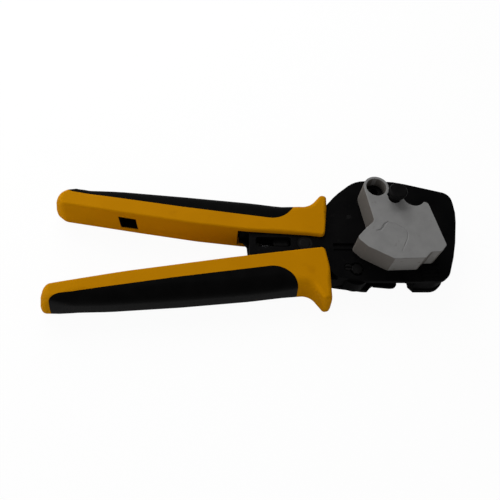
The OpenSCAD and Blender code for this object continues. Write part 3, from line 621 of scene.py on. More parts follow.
def refined(points: Sequence[Flat], step: float) -> list[Flat]:
    """Adds points along an outline's long edges.

    Args:
        points: the outline.
        step: the longest edge that stays.

    Returns:
        The finer outline.
    """
    fine: list[Flat] = []
    for i, a in enumerate(points):
        b = points[(i + 1) % len(points)]
        count = max(1, int(math.dist(a, b) / step))
        fine += [(a[0] + (b[0] - a[0]) * k / count, a[1] + (b[1] - a[1]) * k / count)
                 for k in range(count)]
    return fine


@dataclass
class Tool:
    """What all sub-assemblies share: the frame, the materials and who rides on what."""

    frame: dict
    materials: dict[Slot, bpy.types.Material] = field(init=False)
    slots: dict[str, Slot] = field(init=False)
    bodies: dict[str, str] = field(init=False)

    def __post_init__(self) -> None:
        """Reads slots and bodies from the record and builds the materials."""
        record = self.frame["record"]
        bodies = record["behaviour"]["bodies"]
        self.slots = {row["node"]: Slot(row["material_slot"]) for row in record["subparts"]}
        self.bodies = {node: body for body, nodes in bodies.items() for node in nodes}
        self.materials = {slot: finish.material() for slot, finish in FINISHES.items()}

    def dress(self, piece: Piece, node: str, finish: Finish | None = None) -> None:
        """Gives a piece its finish and lets it stand for a node.

        Args:
            piece: the finished piece.
            node: the node that it replaces.
            finish: a finish other than the slot's own.
        """
        own = self.materials[self.slots[node]]
        piece.data.materials.clear()
        piece.data.materials.append(own if finish is None else finish.material())
        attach(piece, self.bodies[node])
        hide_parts(node)
        self.report(piece, self.bodies[node])

    def trim(self, piece: Piece, body: str, slot: Slot) -> None:
        """Gives its finish to a piece that stands for no node.

        Args:
            piece: the finished piece.
            body: the body that it rides on.
            slot: its material slot.
        """
        piece.data.materials.clear()
        piece.data.materials.append(self.materials[slot])
        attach(piece, body)
        self.report(piece, body)

    @staticmethod
    def report(piece: Piece, body: str) -> None:
        """Logs a finished piece."""
        log.info("%s: %d faces, rides on %s", piece.name, len(piece.data.polygons), body)

    def broken_edges(self, widths: dict[str, float], segments: int = 2,
                     finish: Finish | None = None) -> None:
        """Dresses copies of nodes with their edges broken.

        Args:
            widths: each node's name and bevel width in millimetres.
            segments: the bevel's number of steps.
            finish: a finish other than the slots' own.
        """
        for node, width in widths.items():
            piece = Bench.copy_node(self.frame, node)
            Bench.soften(piece, width * MM, segments)
            Bench.smooth(piece)
            self.dress(piece, node, finish)


@dataclass
class Levels:
    """Heights above the surface that the tool lies on, in millimetres."""

    back_cheek: float = 3.2
    plate: float = 3.2
    gap: float = 10.4
    front_cheek: float = 3.0
    play: float = 0.1

    @property
    def gap_z0(self) -> float:
        """Underside of the gap between the plates."""
        return self.back_cheek + self.plate

    @property
    def gap_z1(self) -> float:
        """Upper side of the gap between the plates."""
        return self.gap_z0 + self.gap

    @property
    def front(self) -> float:
        """Front face of the front plate."""
        return self.gap_z1 + self.plate

    @property
    def top(self) -> float:
        """Top of the handles."""
        return self.front + self.front_cheek


@dataclass
class Handle:
    """One handle: a moulded shell with a soft grip let into its outer side.

    Sizes are in millimetres. In the handle's own axes u runs from the head to the tip, and v from
    the inner side to the gripped side. A corner is its u, its v and its radius.
    """

    name: str
    moving: bool
    # Start of the handle's own axes, and their slope in degrees
    at: Flat
    slope: float
    # Inner side, tip and gripped side
    heel: float
    knee: Flat
    bend: Flat
    length: float
    tip_slant: float
    taper: Flat
    # Face at the head, and the horn
    face: float
    horn: float
    horn_back: float
    horn_side: float
    horn_lean: float
    # Border of the grip: its level, and its steps from there at the tip and at the waist
    band: float
    band_end: float
    band_mid: float
    grip_end: float = 5.6
    grip_round: float = 8.0
    grip_start: float = 17.9
    levels: Levels = field(default_factory=Levels)
    base_length: float = 161.0
    width: float = 21.0
    tip_width: float = 10.2
    waist: Flat = (84.0, 19.0)
    # Corners: place, step from the size that they follow, and radius
    heel_u: float = 8.0
    heel_corner: Flat = (0.3, 2.4)
    knee_round: float = 100.0
    bend_round: float = 80.0
    belly: Corner = (110.0, 0.3, 90.0)
    tip_foot: Corner = (4.5, 1.8, 8.0)
    slant_rise: float = 0.3
    tip_inner: Flat = (4.8, 5.0)
    tip_drop: float = 0.2
    tip_round: float = 4.0
    back: Corner = (143.0, 2.4, 60.0)
    taper_round: float = 120.0
    waist_round: float = 150.0
    shoulder: Corner = (44.0, 0.2, 150.0)
    neck: Corner = (8.9, 0.8, 10.0)
    horn_flank: Flat = (1.8, 2.4)
    horn_rise: float = 1.6
    horn_tip: float = 3.4
    face_top: Flat = (21.5, 34.0)
    # Edge radii, and the zones over which one goes over into the next: start and length
    inner_edge: float = 1.3
    outer_edge: float = 6.4
    front_edge: float = 8.6
    horn_edge: float = 2.1
    shoulder_edge: float = 2.8
    tip_edge: float = 3.0
    zone: float = 12.0
    head_end: float = 14.0
    tip_zone: float = 20.0
    flank: Flat = (12.0, 6.0)
    under_horn: Flat = (1.0, 8.0)
    off_face: Flat = (1.0, 4.0)
    shoulder_share: Flat = (0.3, 0.7)
    # Lean of the tip and of the horn, with the zones of the horn's: start and length
    lean_tip: float = 6.6
    lean_side: float = 0.4
    lean_length: float = 18.0
    lean_across: Flat = (14.0, 14.0)
    lean_along: Flat = (14.0, 8.0)
    # Space of the grip and the core inside it; over is how far a cutter reaches past a surface
    over: float = 1.0
    outside: float = 20.0
    start_corner: Flat = (0.3, 14.0)
    border_round: float = 200.0
    end_lean: Flat = (8.0, 4.0)
    start_lean: Flat = (4.0, 1.8)
    grip: float = 2.2
    core_inset: float = 1.0
    core_drop: float = 4.6
    core_start: float = 15.0
    core_end: float = 24.0
    core_rounds: tuple[float, float, float] = (2.0, 1.4, 30.0)
    seam: float = 0.12
    # Spaces of the head's plates and of the steel arm
    throat: Flat = (-14.0, -9.0)
    throat_mouth: Flat = (16.2, 1.0)
    throat_side: tuple[Corner, ...] = ((30.0, 16.4, 4), (8.0, 19.0, 8))
    throat_top: float = 21.4
    throat_bend: float = 32.0
    throat_rise: float = 2.0
    cavity_u: float = 49.0
    arm_v: float = 5.2
    arm_w: float = 6.4
    arm_l: float = 132.0
    arm_round: float = 1.5
    arm_taper: float = 1.2
    # Window: place, length and height, with the black lining that paints shade into it
    window: tuple[float, float, float] = (115.2, 10.7, 12.6)
    window_drop: float = 0.4
    window_v: float = -3.0
    window_over: float = 0.3
    shade_lining: float = 0.45
    shade_lining_depth: float = 0.9
    shade_lining_gap: float = 0.05
    # Layers of each rounded edge, degrees between an arc's points, longest edge, smoothing angle
    steps: int = 12
    arc_step: float = 5.0
    edge_step: float = 5.0
    smooth_angle: float = 32.0

    @property
    def play(self) -> float:
        """Side play of the handle on the head's plates."""
        return self.levels.play if self.moving else 0.0

    @property
    def arm_top(self) -> float:
        """Gripped side of the steel arm."""
        return self.arm_v + self.arm_w

    def place(self, p: Flat) -> Flat:
        """Turns a point from the handle's own axes into the tool's.

        Args:
            p: the point, in millimetres.

        Returns:
            The point, in metres.
        """
        s = math.radians(self.slope)
        u, v = p
        x = v * math.sin(s) - u * math.cos(s)
        y = (-u * math.sin(s) - v * math.cos(s) if self.moving
             else u * math.sin(s) + v * math.cos(s))
        return ((self.at[0] + x) * MM, (self.at[1] + y) * MM)

    def corners(self) -> list[Corner]:
        """Lists the outline's corners: the inner side, the tip, the gripped side and the horn.

        Returns:
            The corners.
        """
        end, bend_v, slant = self.length, self.bend[1], self.tip_slant
        belly, foot, back = self.belly, self.tip_foot, self.back
        shoulder, neck = self.shoulder, self.neck
        return [
            (self.heel_u, self.heel, 0),
            (*self.knee, self.knee_round),
            (*self.bend, self.bend_round),
            (belly[0], bend_v + belly[1], belly[2]),
            (end - foot[0] - slant, bend_v + foot[1] - self.slant_rise * slant, foot[2]),
            (end, bend_v + self.tip_inner[0], self.tip_inner[1]),
            (end, self.tip_width - self.tip_drop, self.tip_round),
            (back[0], self.taper[1] - back[1], back[2]),
            (*self.taper, self.taper_round),
            (*self.waist, self.waist_round),
            (shoulder[0], self.width + shoulder[1], shoulder[2]),
            (neck[0], self.width + neck[1], neck[2]),
            (self.horn_side, self.horn + self.horn_flank[0], self.horn_flank[1]),
            (self.horn_back, self.horn + self.horn_rise, self.horn_tip),
            (self.face, *self.face_top),
            (self.face, self.heel + self.heel_corner[0], self.heel_corner[1]),
        ]

    def edge(self, p: Flat, side: float) -> float:
        """Finds the edge radius at a point of the outline.

        Args:
            p: the point.
            side: the radius on the gripped side.

        Returns:
            The radius.
        """
        u, v = p
        across, along = clamp01(v / self.zone), clamp01((u - self.head_end) / self.zone)
        up = clamp01((v - self.flank[0]) / self.zone)
        head = self.inner_edge + up * (self.horn_edge - self.inner_edge)
        low = clamp01((self.horn - self.under_horn[0] - v) / self.under_horn[1])
        inner_side = clamp01((v - self.flank[0]) / self.flank[1]) * low
        least, more = self.shoulder_share
        off_face = clamp01((u - self.off_face[0]) / self.off_face[1])
        head += self.shoulder_edge * inner_side * (least + more * off_face)
        long = self.inner_edge + across * (side - self.inner_edge)
        near_tip = clamp01((u - self.base_length + self.tip_zone) / self.zone)
        return head + along * (long - head) + near_tip * (min(long, self.tip_edge) - long)

    def lean(self, p: Flat, z: float) -> float:
        """Finds how far the tip leans back, or the horn leans out, at a point.

        Args:
            p: the point.
            z: its level.

        Returns:
            The step towards the head.
        """
        u, v = p
        reach = self.lean_tip + self.lean_side * (v - self.tip_width / 2)
        rise = (z / self.levels.top) ** 2
        across = clamp01((v - self.lean_across[0]) / self.lean_across[1])
        horn = self.horn_lean * across * clamp01((self.lean_along[0] - u) / self.lean_along[1])
        near_tip = clamp01((u - self.base_length + self.lean_length) / self.lean_length)
        return rise * (reach * near_tip - horn)

    def layer(self, outline: Sequence[Flat], z: float, side: float) -> list[Flat]:
        """Draws the outline in by the rounded edge, as it is at one level.

        Args:
            outline: the full outline.
            z: the level.
            side: the edge radius on the gripped side at this half.

        Returns:
            The points in the handle's own axes.
        """
        depth = min(z, self.levels.top - z)
        points = []
        for i, p in enumerate(outline):
            a = unit(outline[i - 1], p)
            b = unit(p, outline[(i + 1) % len(outline)])
            m = (-a[1] - b[1], a[0] + b[0])
            size = math.hypot(*m)
            m = (m[0] / size, m[1] / size)
            stretch = max(LEAST_MITRE, -m[0] * a[1] + m[1] * a[0])
            r = self.edge(p, side)
            drop = 0.0 if depth >= r else r - math.sqrt(max(0.0, r * r - (r - depth) ** 2))
            x, y = p[0] + m[0] / stretch * drop, p[1] + m[1] / stretch * drop
            points.append((x - self.lean((x, y), z), y))
        return points

    def form(self) -> Piece:
        """Lofts the handle's outer form, ring by ring.

        Returns:
            The closed form.
        """
        outline = refined(rounded(self.corners(), self.arc_step), self.edge_step)
        shares = [1 - math.cos(math.radians(90 * k / self.steps)) for k in range(self.steps + 1)]
        levels = [(share * self.outer_edge, self.outer_edge) for share in shares]
        levels += [(self.levels.top - share * self.front_edge, self.front_edge)
                   for share in reversed(shares)]
        rings = [[self.place(p) for p in self.layer(outline, z, side)] for z, side in levels]
        piece = Bench.ring(f"{self.name}_form", rings[0], 0.0)
        bpy.ops.mesh.edge_face_add()
        bpy.ops.mesh.select_all(action="SELECT")
        for before, ring, low, high in zip(rings, rings[1:], levels, levels[1:]):
            Bench.next_ring(piece, ring, before, (high[0] - low[0]) * MM)
        Bench.close_form()
        return piece

    def block(self, name: str, corners: Sequence[Corner], z0: float, z1: float) -> Piece:
        """Makes a cutter from corners in the handle's own axes.

        Args:
            name: the cutter's name.
            corners: its outline.
            z0: the lower level.
            z1: the upper level.

        Returns:
            The cutter.
        """
        points = [self.place(p) for p in rounded(corners, self.arc_step)]
        return Bench.prism(name, points, z0 * MM, z1 * MM)

    def grip_space(self, grow: float) -> Piece:
        """Makes the space that the soft grip fills, round the shell's core.

        Args:
            grow: how much wider than the grip it is.

        Returns:
            The cutter.
        """
        band, top, beyond = self.band, self.levels.top, self.width + self.outside
        end = self.base_length - self.grip_end + grow
        start = self.grip_start - grow
        border = [
            (end, band + self.band_end - grow, self.grip_round), (end, beyond, 0),
            (start, beyond, 0), (start, band + self.start_corner[0] - grow, self.start_corner[1]),
            (self.waist[0], band + self.band_mid - grow, self.border_round)]
        outer = self.block("grip_space", border, -self.over, top + self.over)
        self.lean_end(outer, end - self.end_lean[0], self.end_lean[1])
        self.lean_end(outer, start + self.start_lean[0], -self.start_lean[1])
        inset, core_end = self.grip + self.core_inset, self.base_length - self.core_end
        core_v, rounds = band - self.core_inset - grow, self.core_rounds
        sides = [
            (self.core_start, core_v, 0), (core_end, core_v, rounds[0]),
            (core_end, self.tip_width, rounds[1]),
            (self.taper[0], self.taper[1] - inset, rounds[2]),
            (self.core_start, self.width - inset, 0)]
        Bench.cut(outer, self.block("grip_core", sides, inset, top - self.core_drop), Cut.AWAY)
        return outer

    def lean_end(self, block: Piece, start: float, step: float) -> None:
        """Leans an end wall of the grip, so that its foot reaches further than its top.

        Args:
            block: the grip's space.
            start: where the leaning begins along the handle.
            step: how far the foot moves towards the tip; negative at the head's end.
        """
        foot = self.place((start, 0.0))
        along = unit(foot, self.place((start + 1.0, 0.0)))
        Bench.edit(block)
        bpy.ops.mesh.select_mode(type="VERT")
        bpy.ops.mesh.select_all(action="DESELECT")
        mesh = bmesh.from_edit_mesh(block.data)
        for vertex in mesh.verts:
            reach = (vertex.co.x - foot[0]) * along[0] + (vertex.co.y - foot[1]) * along[1]
            vertex.select_set(vertex.co.z < 0 and reach * step > 0)
        bmesh.update_edit_mesh(block.data)
        bpy.ops.transform.translate(value=(along[0] * step * MM, along[1] * step * MM, 0))
        bpy.ops.object.mode_set(mode="OBJECT")

    def head_space(self, form: Piece, head: Sequence[Corner]) -> None:
        """Cuts the spaces for the head's plates out of the form.

        Args:
            form: the handle's form.
            head: the head plate's outline, in the tool's own axes.
        """
        lv, (u, v) = self.levels, self.throat
        if self.moving:
            upper = [(self.cavity_u, *self.throat_mouth), *self.throat_side,
                     (u, self.throat_top, 0)]
        else:
            upper = [(self.cavity_u, self.arm_top, 0), (self.throat_bend, self.arm_top, 0),
                     (u, self.arm_v + self.throat_rise, 0)]
        throat = self.block("throat", [(u, v, 0), (self.cavity_u, v, 0), *upper],
                            lv.back_cheek - self.play, lv.front + self.play)
        Bench.cut(form, throat, Cut.AWAY)
        if not self.moving:
            outline = metres(rounded(head, self.arc_step))
            plate = Bench.prism("head_space", outline, lv.back_cheek * MM, lv.front * MM)
            Bench.cut(form, plate, Cut.AWAY)

    def arm_space(self, shell: Piece) -> None:
        """Cuts the space for the steel arm out of the shell.

        Args:
            shell: the shell.
        """
        start = self.cavity_u - self.over
        arm = [(start, self.arm_v, 0), (self.arm_l, self.arm_v, self.arm_round),
               (self.arm_l, self.arm_top - self.arm_taper, self.arm_round),
               (start, self.arm_top, 0)]
        z0, z1 = self.levels.gap_z0 + self.play, self.levels.gap_z1 - self.play
        Bench.cut(shell, self.block("arm_space", arm, z0, z1), Cut.AWAY)

    def window_space(self, shell: Piece, tool: Tool) -> None:
        """Cuts the window into the shell's inner side and lines its walls with black grip
        material: painted shade inside the window.

        Args:
            shell: the shell.
            tool: the shared frame and finishes.
        """
        u, long, high = self.window
        mid = (self.levels.gap_z0 + self.levels.gap_z1) / 2 - self.window_drop
        z0, z1 = mid - high / 2, mid + high / 2
        half, inner = long / 2, long / 2 - self.shade_lining
        hole = rectangle(u - half, u + half, self.window_v, self.arm_v + self.window_over)
        Bench.cut(shell, self.block("window", hole, z0, z1), Cut.AWAY)
        # Black lining on the window's walls: painted shade in the window
        lip = self.bend[1] + self.shade_lining_depth
        lining = rectangle(u - half, u + half, lip, self.arm_v - self.shade_lining_gap)
        shade_lining = self.block("window_sleeve", lining, z0, z1)
        opening = rectangle(u - inner, u + inner, self.window_v, self.arm_v + self.over)
        inside = self.block("window_inside", opening, z0 + self.shade_lining, z1 - self.shade_lining)
        Bench.cut(shade_lining, inside, Cut.AWAY)
        Bench.smooth(shade_lining)
        tool.trim(shade_lining, tool.bodies[f"{self.name}_shell"], Slot.GRIP)

    def build(self, tool: Tool, head: Sequence[Corner]) -> None:
        """Builds and dresses the shell and the grip.

        Args:
            tool: the shared frame and finishes.
            head: the head plate's outline.
        """
        shell = self.form()
        self.head_space(shell, head)
        grip = shell.copy()
        grip.data = shell.data.copy()
        bpy.context.scene.collection.objects.link(grip)
        shell.name, grip.name = f"{self.name}_shell_look", f"{self.name}_grip_look"
        Bench.cut(grip, self.grip_space(0.0), Cut.KEEP)
        Bench.cut(shell, self.grip_space(self.seam), Cut.AWAY)
        self.arm_space(shell)
        if not self.moving:
            self.window_space(shell, tool)
        for piece, node in ((shell, f"{self.name}_shell"), (grip, f"{self.name}_grip")):
            Bench.smooth(piece, self.smooth_angle)
            tool.dress(piece, node)


@dataclass
class Head:
    """Frame plates with the pins and screws that show in them. Sizes are in millimetres."""

    left: float = -8.3
    bottom: float = -27.3
    top: float = 41.9
    middle: Flat = (-2.87, 0.7)
    # Ring turned into the pawl pin's head
    ring_inset: float = 1.1
    ring_width: float = 0.5
    ring_drop: float = 0.25
    pin_edge: float = 0.12
    # What counts as the pin's end face: upright share of its normal, and metres below the top
    face_level: float = 0.9
    face_near: float = 0.0001
    # Foot of the tang, with its levels
    foot: tuple[Corner, ...] = (
        (-10.6, 11.4, 0.5), (-10.6, 5.2, 0.5), (-8.6, 4.5, 1.5), (-5.9, 1.4, 1.5),
        (-5.5, -3.6, 0.5), (-5.0, -3.6, 0), (-5.0, 11.4, 0))
    foot_z: Flat = (3.3, 6.35)
    foot_edge: float = 0.2
    foot_step: float = 8.0

    def outline(self) -> list[Corner]:
        """Lists the plates' corners.

        Returns:
            The corners, in the tool's axes.
        """
        corners = [
            (self.left, -11.8, 1), (31, -12, 8), (41, -24.6, 5), (60, self.bottom, 14),
            (106.2, self.bottom, 9), (114.4, -7, 70), (120.45, 19, 60), (119.2, 33, 7),
            (84, self.top, 60), (59.5, self.top, 18), (46.2, 31, 30), (38, 21.6, 8),
            (28, 15.2, 6), (self.left, 15.2, 1)]
        return [(x - self.middle[0], y - self.middle[1], r) for x, y, r in corners]

    def pawl_pin(self, tool: Tool) -> None:
        """Turns a ring into the pawl pin's flush head.

        Args:
            tool: the shared frame and finishes.
        """
        piece = Bench.copy_node(tool.frame, "pawl_pin")
        top = max(v.co.z for v in piece.data.vertices)
        Bench.edit(piece)
        bpy.ops.mesh.select_mode(type="FACE")
        bpy.ops.mesh.select_all(action="DESELECT")
        mesh = bmesh.from_edit_mesh(piece.data)
        for face in mesh.faces:
            level = face.calc_center_median().z
            if face.normal.z > self.face_level and level > top - self.face_near:
                face.select_set(True)
        bmesh.update_edit_mesh(piece.data)
        bpy.ops.mesh.inset(thickness=self.ring_inset * MM, depth=-self.ring_drop * MM)
        bpy.ops.mesh.inset(thickness=self.ring_width * MM, depth=self.ring_drop * MM)
        bpy.ops.mesh.select_mode(type="VERT")
        bpy.ops.object.mode_set(mode="OBJECT")
        Bench.soften(piece, self.pin_edge * MM)
        Bench.smooth(piece)
        tool.dress(piece, "pawl_pin", WORN)

    def tang_foot(self, tool: Tool) -> None:
        """Adds the foot of the tang that fills the corner beside the back plate.

        Args:
            tool: the shared frame and finishes.
        """
        points = metres(rounded(self.foot, self.foot_step))
        piece = Bench.prism("tang_foot", points, self.foot_z[0] * MM, self.foot_z[1] * MM)
        Bench.soften(piece, self.foot_edge * MM)
        Bench.smooth(piece)
        tool.trim(piece, "frame", Slot.BLACK)

    def build(self, tool: Tool) -> None:
        """Breaks the plates' and fittings' edges and dresses them.

        Args:
            tool: the shared frame and finishes.
        """
        tool.broken_edges({
            "front_frame_plate": 0.22, "back_frame_plate": 0.22, "fixed_jaw": 0.3,
            "fixed_die": 0.12, "handle_tang": 0.25, "jaw_pivot_nut": 0.3, "jaw_pivot_bolt": 0.25,
            "moving_jaw": 0.3, "moving_die": 0.12, "moving_lever": 0.25, "toggle_links": 0.2,
            "frame_rivets": 0.12, "tang_rivets": 0.12})
        self.tang_foot(tool)
        tool.broken_edges({
            "eccentric_shaft": 0.12, "pawl": 0.2, "adjuster_lock_screw": 0.12,
            "return_spring_pin": 0.15}, finish=WORN)
        self.pawl_pin(tool)


@dataclass
class Locator:
    """The swing-out block, its ring screw and the lock knob. Sizes are in millimetres."""

    pivot: Flat = (69.87, 25.9)
    knob: Flat = (79.67, 18.5)
    knob_room: float = 3.55
    swing: float = 23.0
    swing_steps: int = 12
    z0: float = 20.1
    z1: float = 35.6
    over: float = 1.0
    # The ring, with the first and last angle of its arc in degrees
    ring: float = 7.6
    ring_arc: Flat = (-40.0, 188.0)
    ring_steps: int = 57
    bore: float = 5.95
    floor: float = 4.2
    screw: float = 3.25
    scallop: Corner = (91.47, 19.9, 6.6)
    nests: tuple[Corner, ...] = ((84.07, -11.2, 2.1), (84.47, -5.3, 1.6))
    roof: float = 4.0
    edge: float = 0.38
    edge_steps: int = 3
    smooth_angle: float = 44.0
    # A face whose normal points further down the picture than this takes the front material,
    # whose lighter wall colour is painted light
    painted_light_limit: float = -0.985
    outline: tuple[Corner, ...] = (
        (65.47, 2.7, 3), (60.47, -1.7, 5), (54.27, -8.3, 2), (59.67, -13.9, 4),
        (73.67, -21.6, 3), (91.47, -20.9, 2), (95.07, -17.1, 3), (101.27, -16.9, 3),
        (104.87, -12.7, 1.5), (99.27, 15.5, 2.5), (85.47, 18.3, 1), (76.27, 18.3, 0))
    # Grooves in the top: x, y and share of the radius along them, then radius and depth
    crease: tuple[Corner, ...] = (
        (73.0, 1.7, 0.86), (77.1, 0.8, 0.93), (80.7, -1.2, 1), (83.2, -3.4, 1), (83.9, -5.9, 1),
        (82.8, -9.5, 1), (80.6, -13.1, 0.96), (78.3, -17.3, 0.85))
    crease_size: Flat = (0.6, 0.24)
    step: tuple[Corner, ...] = (
        (73.3, 2.0, 0.78), (71.4, 0.9, 0.92), (70.3, -1.1, 1), (69.1, -2.9, 1),
        (67.6, -3.9, 0.9), (65.6, -3.8, 0.78))
    step_size: Flat = (1.0, 0.5)
    groove_resolution: int = 8
    groove_order: int = 4

    def around(self, radius: float, angles: Iterable[float]) -> list[Flat]:
        """Returns the points at a radius round the pivot, at angles in radians."""
        x, y = self.pivot
        return [(x + radius * math.cos(t), y + radius * math.sin(t)) for t in angles]

    def knob_path(self) -> list[Flat]:
        """Draws the slot that clears the knob while the block swings.

        Returns:
            The slot's outline, in metres.
        """
        dx, dy = self.knob[0] - self.pivot[0], self.knob[1] - self.pivot[1]
        reach, start = math.hypot(dx, dy), math.atan2(dy, dx)
        angles = [start + math.radians(self.swing) * k / self.swing_steps
                  for k in range(self.swing_steps + 1)]
        outer = self.around(reach + self.knob_room, angles)
        return metres(outer + self.around(reach - self.knob_room, angles[::-1]))

    def groove(self, block: Piece, path: Sequence[Corner], size: Flat) -> None:
        """Presses a round groove into the block's top.

        Args:
            block: the block.
            path: x, y and share of the radius along the groove.
            size: the groove's radius, and its depth where the share is 1.
        """
        radius, depth = size
        line = bpy.data.curves.new("groove", "CURVE")
        line.dimensions = "3D"
        line.bevel_depth = radius * MM
        line.bevel_resolution = self.groove_resolution
        line.use_fill_caps = True
        spline = line.splines.new("NURBS")
        spline.points.add(len(path) - 1)
        for point, (x, y, share) in zip(spline.points, path, strict=True):
            point.co = (x * MM, y * MM, (self.z1 + radius - depth) * MM, 1.0)
            point.radius = share
        spline.use_endpoint_u = True
        spline.order_u = self.groove_order
        tube = bpy.data.objects.new("groove", line)
        bpy.context.scene.collection.objects.link(tube)
        Bench.pick(tube)
        bpy.ops.object.convert(target="MESH")
        Bench.cut(block, bpy.context.active_object, Cut.AWAY)

    def block(self, tool: Tool) -> None:
        """Builds the block with its ring, its holes and the soft step on its top.

        Args:
            tool: the shared frame and finishes.
        """
        z0, z1 = self.z0 * MM, self.z1 * MM
        below, above = z0 - self.over * MM, z1 + self.over * MM
        first, last = self.ring_arc
        angles = [math.radians(first + (last - first) * k / self.ring_steps)
                  for k in range(self.ring_steps + 1)]
        ring = [(x, y, 0) for x, y in self.around(self.ring, angles)]
        corners = [(x * MM, y * MM, r * MM) for x, y, r in (*self.outline, *ring)]
        piece = Bench.prism("locator_block_look", rounded(corners), z0, z1)
        Bench.cut(piece, Bench.prism("knob_path", self.knob_path(), below, above), Cut.AWAY)
        holes = [
            ((*self.knob, self.knob_room), below, above),
            (self.scallop, below, above),
            ((*self.pivot, self.bore), z0 + self.floor * MM, above),
            ((*self.pivot, self.screw), below, z1)]
        holes += [(nest, below, z1 - self.roof * MM) for nest in self.nests]
        for (x, y, radius), low, high in holes:
            hole = Bench.rod("hole", (x * MM, y * MM), radius * MM, low, high)
            Bench.cut(piece, hole, Cut.AWAY)
        Bench.merge_level(piece)
        Bench.soften(piece, self.edge * MM, self.edge_steps)
        self.groove(piece, self.crease, self.crease_size)
        self.groove(piece, self.step, self.step_size)
        Bench.smooth(piece, self.smooth_angle)
        tool.dress(piece, "locator_block")
        # Faces towards the front take the second material: painted light that makes those walls
        # lighter
        piece.data.materials.append(FRONT_LIGHT_AND_SMUDGES.material())
        for face in piece.data.polygons:
            face.material_index = 1 if face.normal.y < self.painted_light_limit else 0

    def build(self, tool: Tool) -> None:
        """Builds the block, the screw and the knob.

        Args:
            tool: the shared frame and finishes.
        """
        self.block(tool)
        tool.broken_edges({"locator_washer": 0.12, "knob_bushing": 0.1}, self.edge_steps)
        tool.broken_edges({"locator_screw": 0.3, "lock_knob": 0.45}, self.edge_steps, WORN)


@dataclass
class Springs:
    """The three wire springs, smoothed to round wire."""

    names: tuple[str, ...] = ("pawl_spring", "jaw_return_spring", "knob_spring")
    smooth_angle: float = 60.0

    def build(self, tool: Tool) -> None:
        """Subdivides each spring's six-sided wire.

        Args:
            tool: the shared frame and finishes.
        """
        for node in self.names:
            piece = Bench.copy_node(tool.frame, node)
            Bench.modify(piece, "SUBSURF", levels=1, render_levels=1)
            Bench.smooth(piece, self.smooth_angle)
            tool.dress(piece, node)


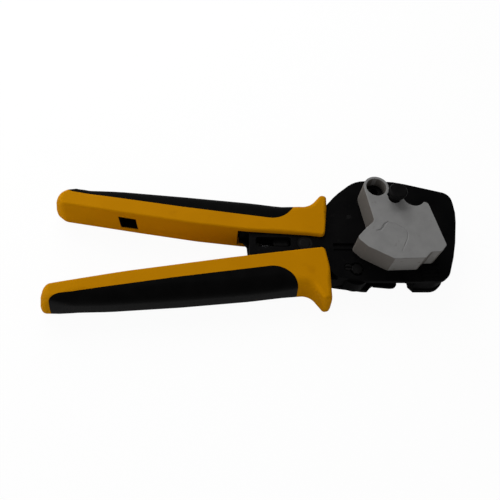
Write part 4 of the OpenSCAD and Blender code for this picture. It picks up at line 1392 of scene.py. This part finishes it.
@dataclass
class Studio:
    """Floor, lamps and the camera at the photograph's viewing angle.

    Sizes are in metres, the sensor's is in millimetres, and those that end in px are in pixels.
    """

    focal_px: float = 520.0
    frame_px: float = 500.0
    centre_px: Flat = (250.0, 250.0)
    nadir_px: Flat = (213.0, 525.0)
    turn_deg: float = 1.4
    eye: Vector = field(default_factory=lambda: Vector((-25.13, -148.7, 285.0)) * MM)
    sensor: float = 36.0
    nearest: float = 0.01
    world: float = 0.2
    floor_size: float = 6.0
    floor_z: float = -0.0002
    floor_bounce: Rgb = (0.82, 0.82, 0.82)
    floor_seen: Rgb = (0.97, 0.97, 0.97)
    floor_glow: float = 0.95
    # Each lamp's place, size and watts
    lamps: tuple[tuple[Rgb, float, float], ...] = (
        ((-0.16, 0.4, 0.42), 0.5, 2.75),
        ((-0.36, -0.55, 0.38), 0.6, 0.9),
        ((-0.75, 0.0, 0.22), 0.5, 2.2),
        ((0.4, -0.5, 0.35), 0.6, 0.65),
    )

    def camera(self) -> None:
        """Creates the camera from its focal length and the picture's nadir point."""
        nadir, centre = self.nadir_px, self.centre_px
        down = Vector((nadir[0] - centre[0], nadir[1] - centre[1], self.focal_px))
        down.normalize()
        flat_x = (Vector((1, 0, 0)) - down * down.x).normalized()
        flat_y = (-down).cross(flat_x)
        turn = math.radians(self.turn_deg)
        axis_x = math.cos(turn) * flat_x + math.sin(turn) * flat_y
        axis_y = math.cos(turn) * flat_y - math.sin(turn) * flat_x
        matrix = Matrix([(v.x, -v.y, -v.z) for v in (axis_x, axis_y, -down)]).to_4x4()
        matrix.translation = self.eye
        data = bpy.data.cameras.new("camera")
        data.sensor_width = self.sensor
        data.lens = self.focal_px / self.frame_px * self.sensor
        data.clip_start = self.nearest
        camera = bpy.data.objects.new("camera", data)
        bpy.context.scene.collection.objects.link(camera)
        camera.matrix_world = matrix
        bpy.context.scene.camera = camera

    def floor(self) -> None:
        """Lays the pale floor, which shows white to the camera and keeps the tool's shadow."""
        Bench.clear()
        bpy.ops.mesh.primitive_plane_add(size=self.floor_size, location=(0, 0, self.floor_z))
        plane = bpy.context.active_object
        plane.name = "floor"
        n = Nodes("floor_white")
        n.shader.inputs["Roughness"].default_value = 1.0
        n.shader.inputs["Specular IOR Level"].default_value = 0.0
        rays = n.add("ShaderNodeLightPath").outputs
        direct = n.maths("MAXIMUM", rays["Is Camera Ray"], rays["Is Glossy Ray"])
        seen = n.maths("MAXIMUM", direct, rays["Is Transmission Ray"])
        bare = n.add("ShaderNodeMix", data_type="RGBA")
        bare.inputs[6].default_value = (*self.floor_bounce, 1)
        bare.inputs[7].default_value = (*self.floor_seen, 1)
        n.link(seen, bare.inputs[0])
        n.link(bare.outputs[2], n.shader.inputs["Base Color"])
        glow = n.add("ShaderNodeEmission")
        mix = n.add("ShaderNodeMixShader")
        n.link(n.maths("MULTIPLY", seen, self.floor_glow), mix.inputs["Fac"])
        n.link(n.shader.outputs["BSDF"], mix.inputs[1])
        n.link(glow.outputs["Emission"], mix.inputs[2])
        n.link(mix.outputs["Shader"], n.tree.nodes["Material Output"].inputs["Surface"])
        plane.data.materials.append(n.material)

    def light(self) -> None:
        """Hangs the soft lamps and sets the pale world."""
        for index, (place, size, watts) in enumerate(self.lamps):
            data = bpy.data.lights.new(f"lamp_{index}", "AREA")
            data.size = size
            data.energy = watts
            lamp = bpy.data.objects.new(data.name, data)
            lamp.location = place
            lamp.rotation_euler = Vector(place).to_track_quat("Z", "Y").to_euler()
            bpy.context.scene.collection.objects.link(lamp)
        world = bpy.data.worlds.new("world")
        world.use_nodes = True
        background = world.node_tree.nodes["Background"]
        background.inputs["Color"].default_value = (1, 1, 1, 1)
        background.inputs["Strength"].default_value = self.world
        bpy.context.scene.world = world

    def build(self) -> None:
        """Sets up the whole studio."""
        self.floor()
        self.light()
        self.camera()
        bpy.context.scene.view_settings.view_transform = "Standard"


def main() -> None:
    """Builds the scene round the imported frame."""
    logging.basicConfig(level=logging.INFO, format="%(message)s")
    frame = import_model()
    tool = Tool(frame)
    for node, slot in tool.slots.items():
        frame["nodes"][node].data.materials.clear()
        frame["nodes"][node].data.materials.append(tool.materials[slot])
    head = Head()
    fixed = Handle(
        "fixed_handle", moving=False, at=(36.62, -2.3), slope=8.5, heel=2.5, knee=(44.0, -0.7),
        bend=(74.0, -1.7), length=162.6, tip_slant=2.4, taper=(124.0, 16.4), face=-2.1,
        horn=29.2, horn_back=-0.8, horn_side=2.8, horn_lean=-0.7, band=9.3, band_end=-0.8,
        band_mid=-0.8)
    moving = Handle(
        "moving_handle", moving=True, at=(35.87, -7.5), slope=8.4, heel=-0.1, knee=(30.0, -0.4),
        bend=(52.0, -0.67), length=161.5, tip_slant=0.0, taper=(124.0, 15.8), face=-2.5,
        horn=30.7, horn_back=-1.8, horn_side=2.4, horn_lean=2.6, band=8.1, band_end=0.1,
        band_mid=-0.4, grip_end=5.0, grip_round=10.5)
    for handle in (fixed, moving):
        handle.build(tool, head.outline())
    head.build(tool)
    Locator().build(tool)
    Springs().build(tool)
    Studio().build()


if __name__ == "__main__":
    main()
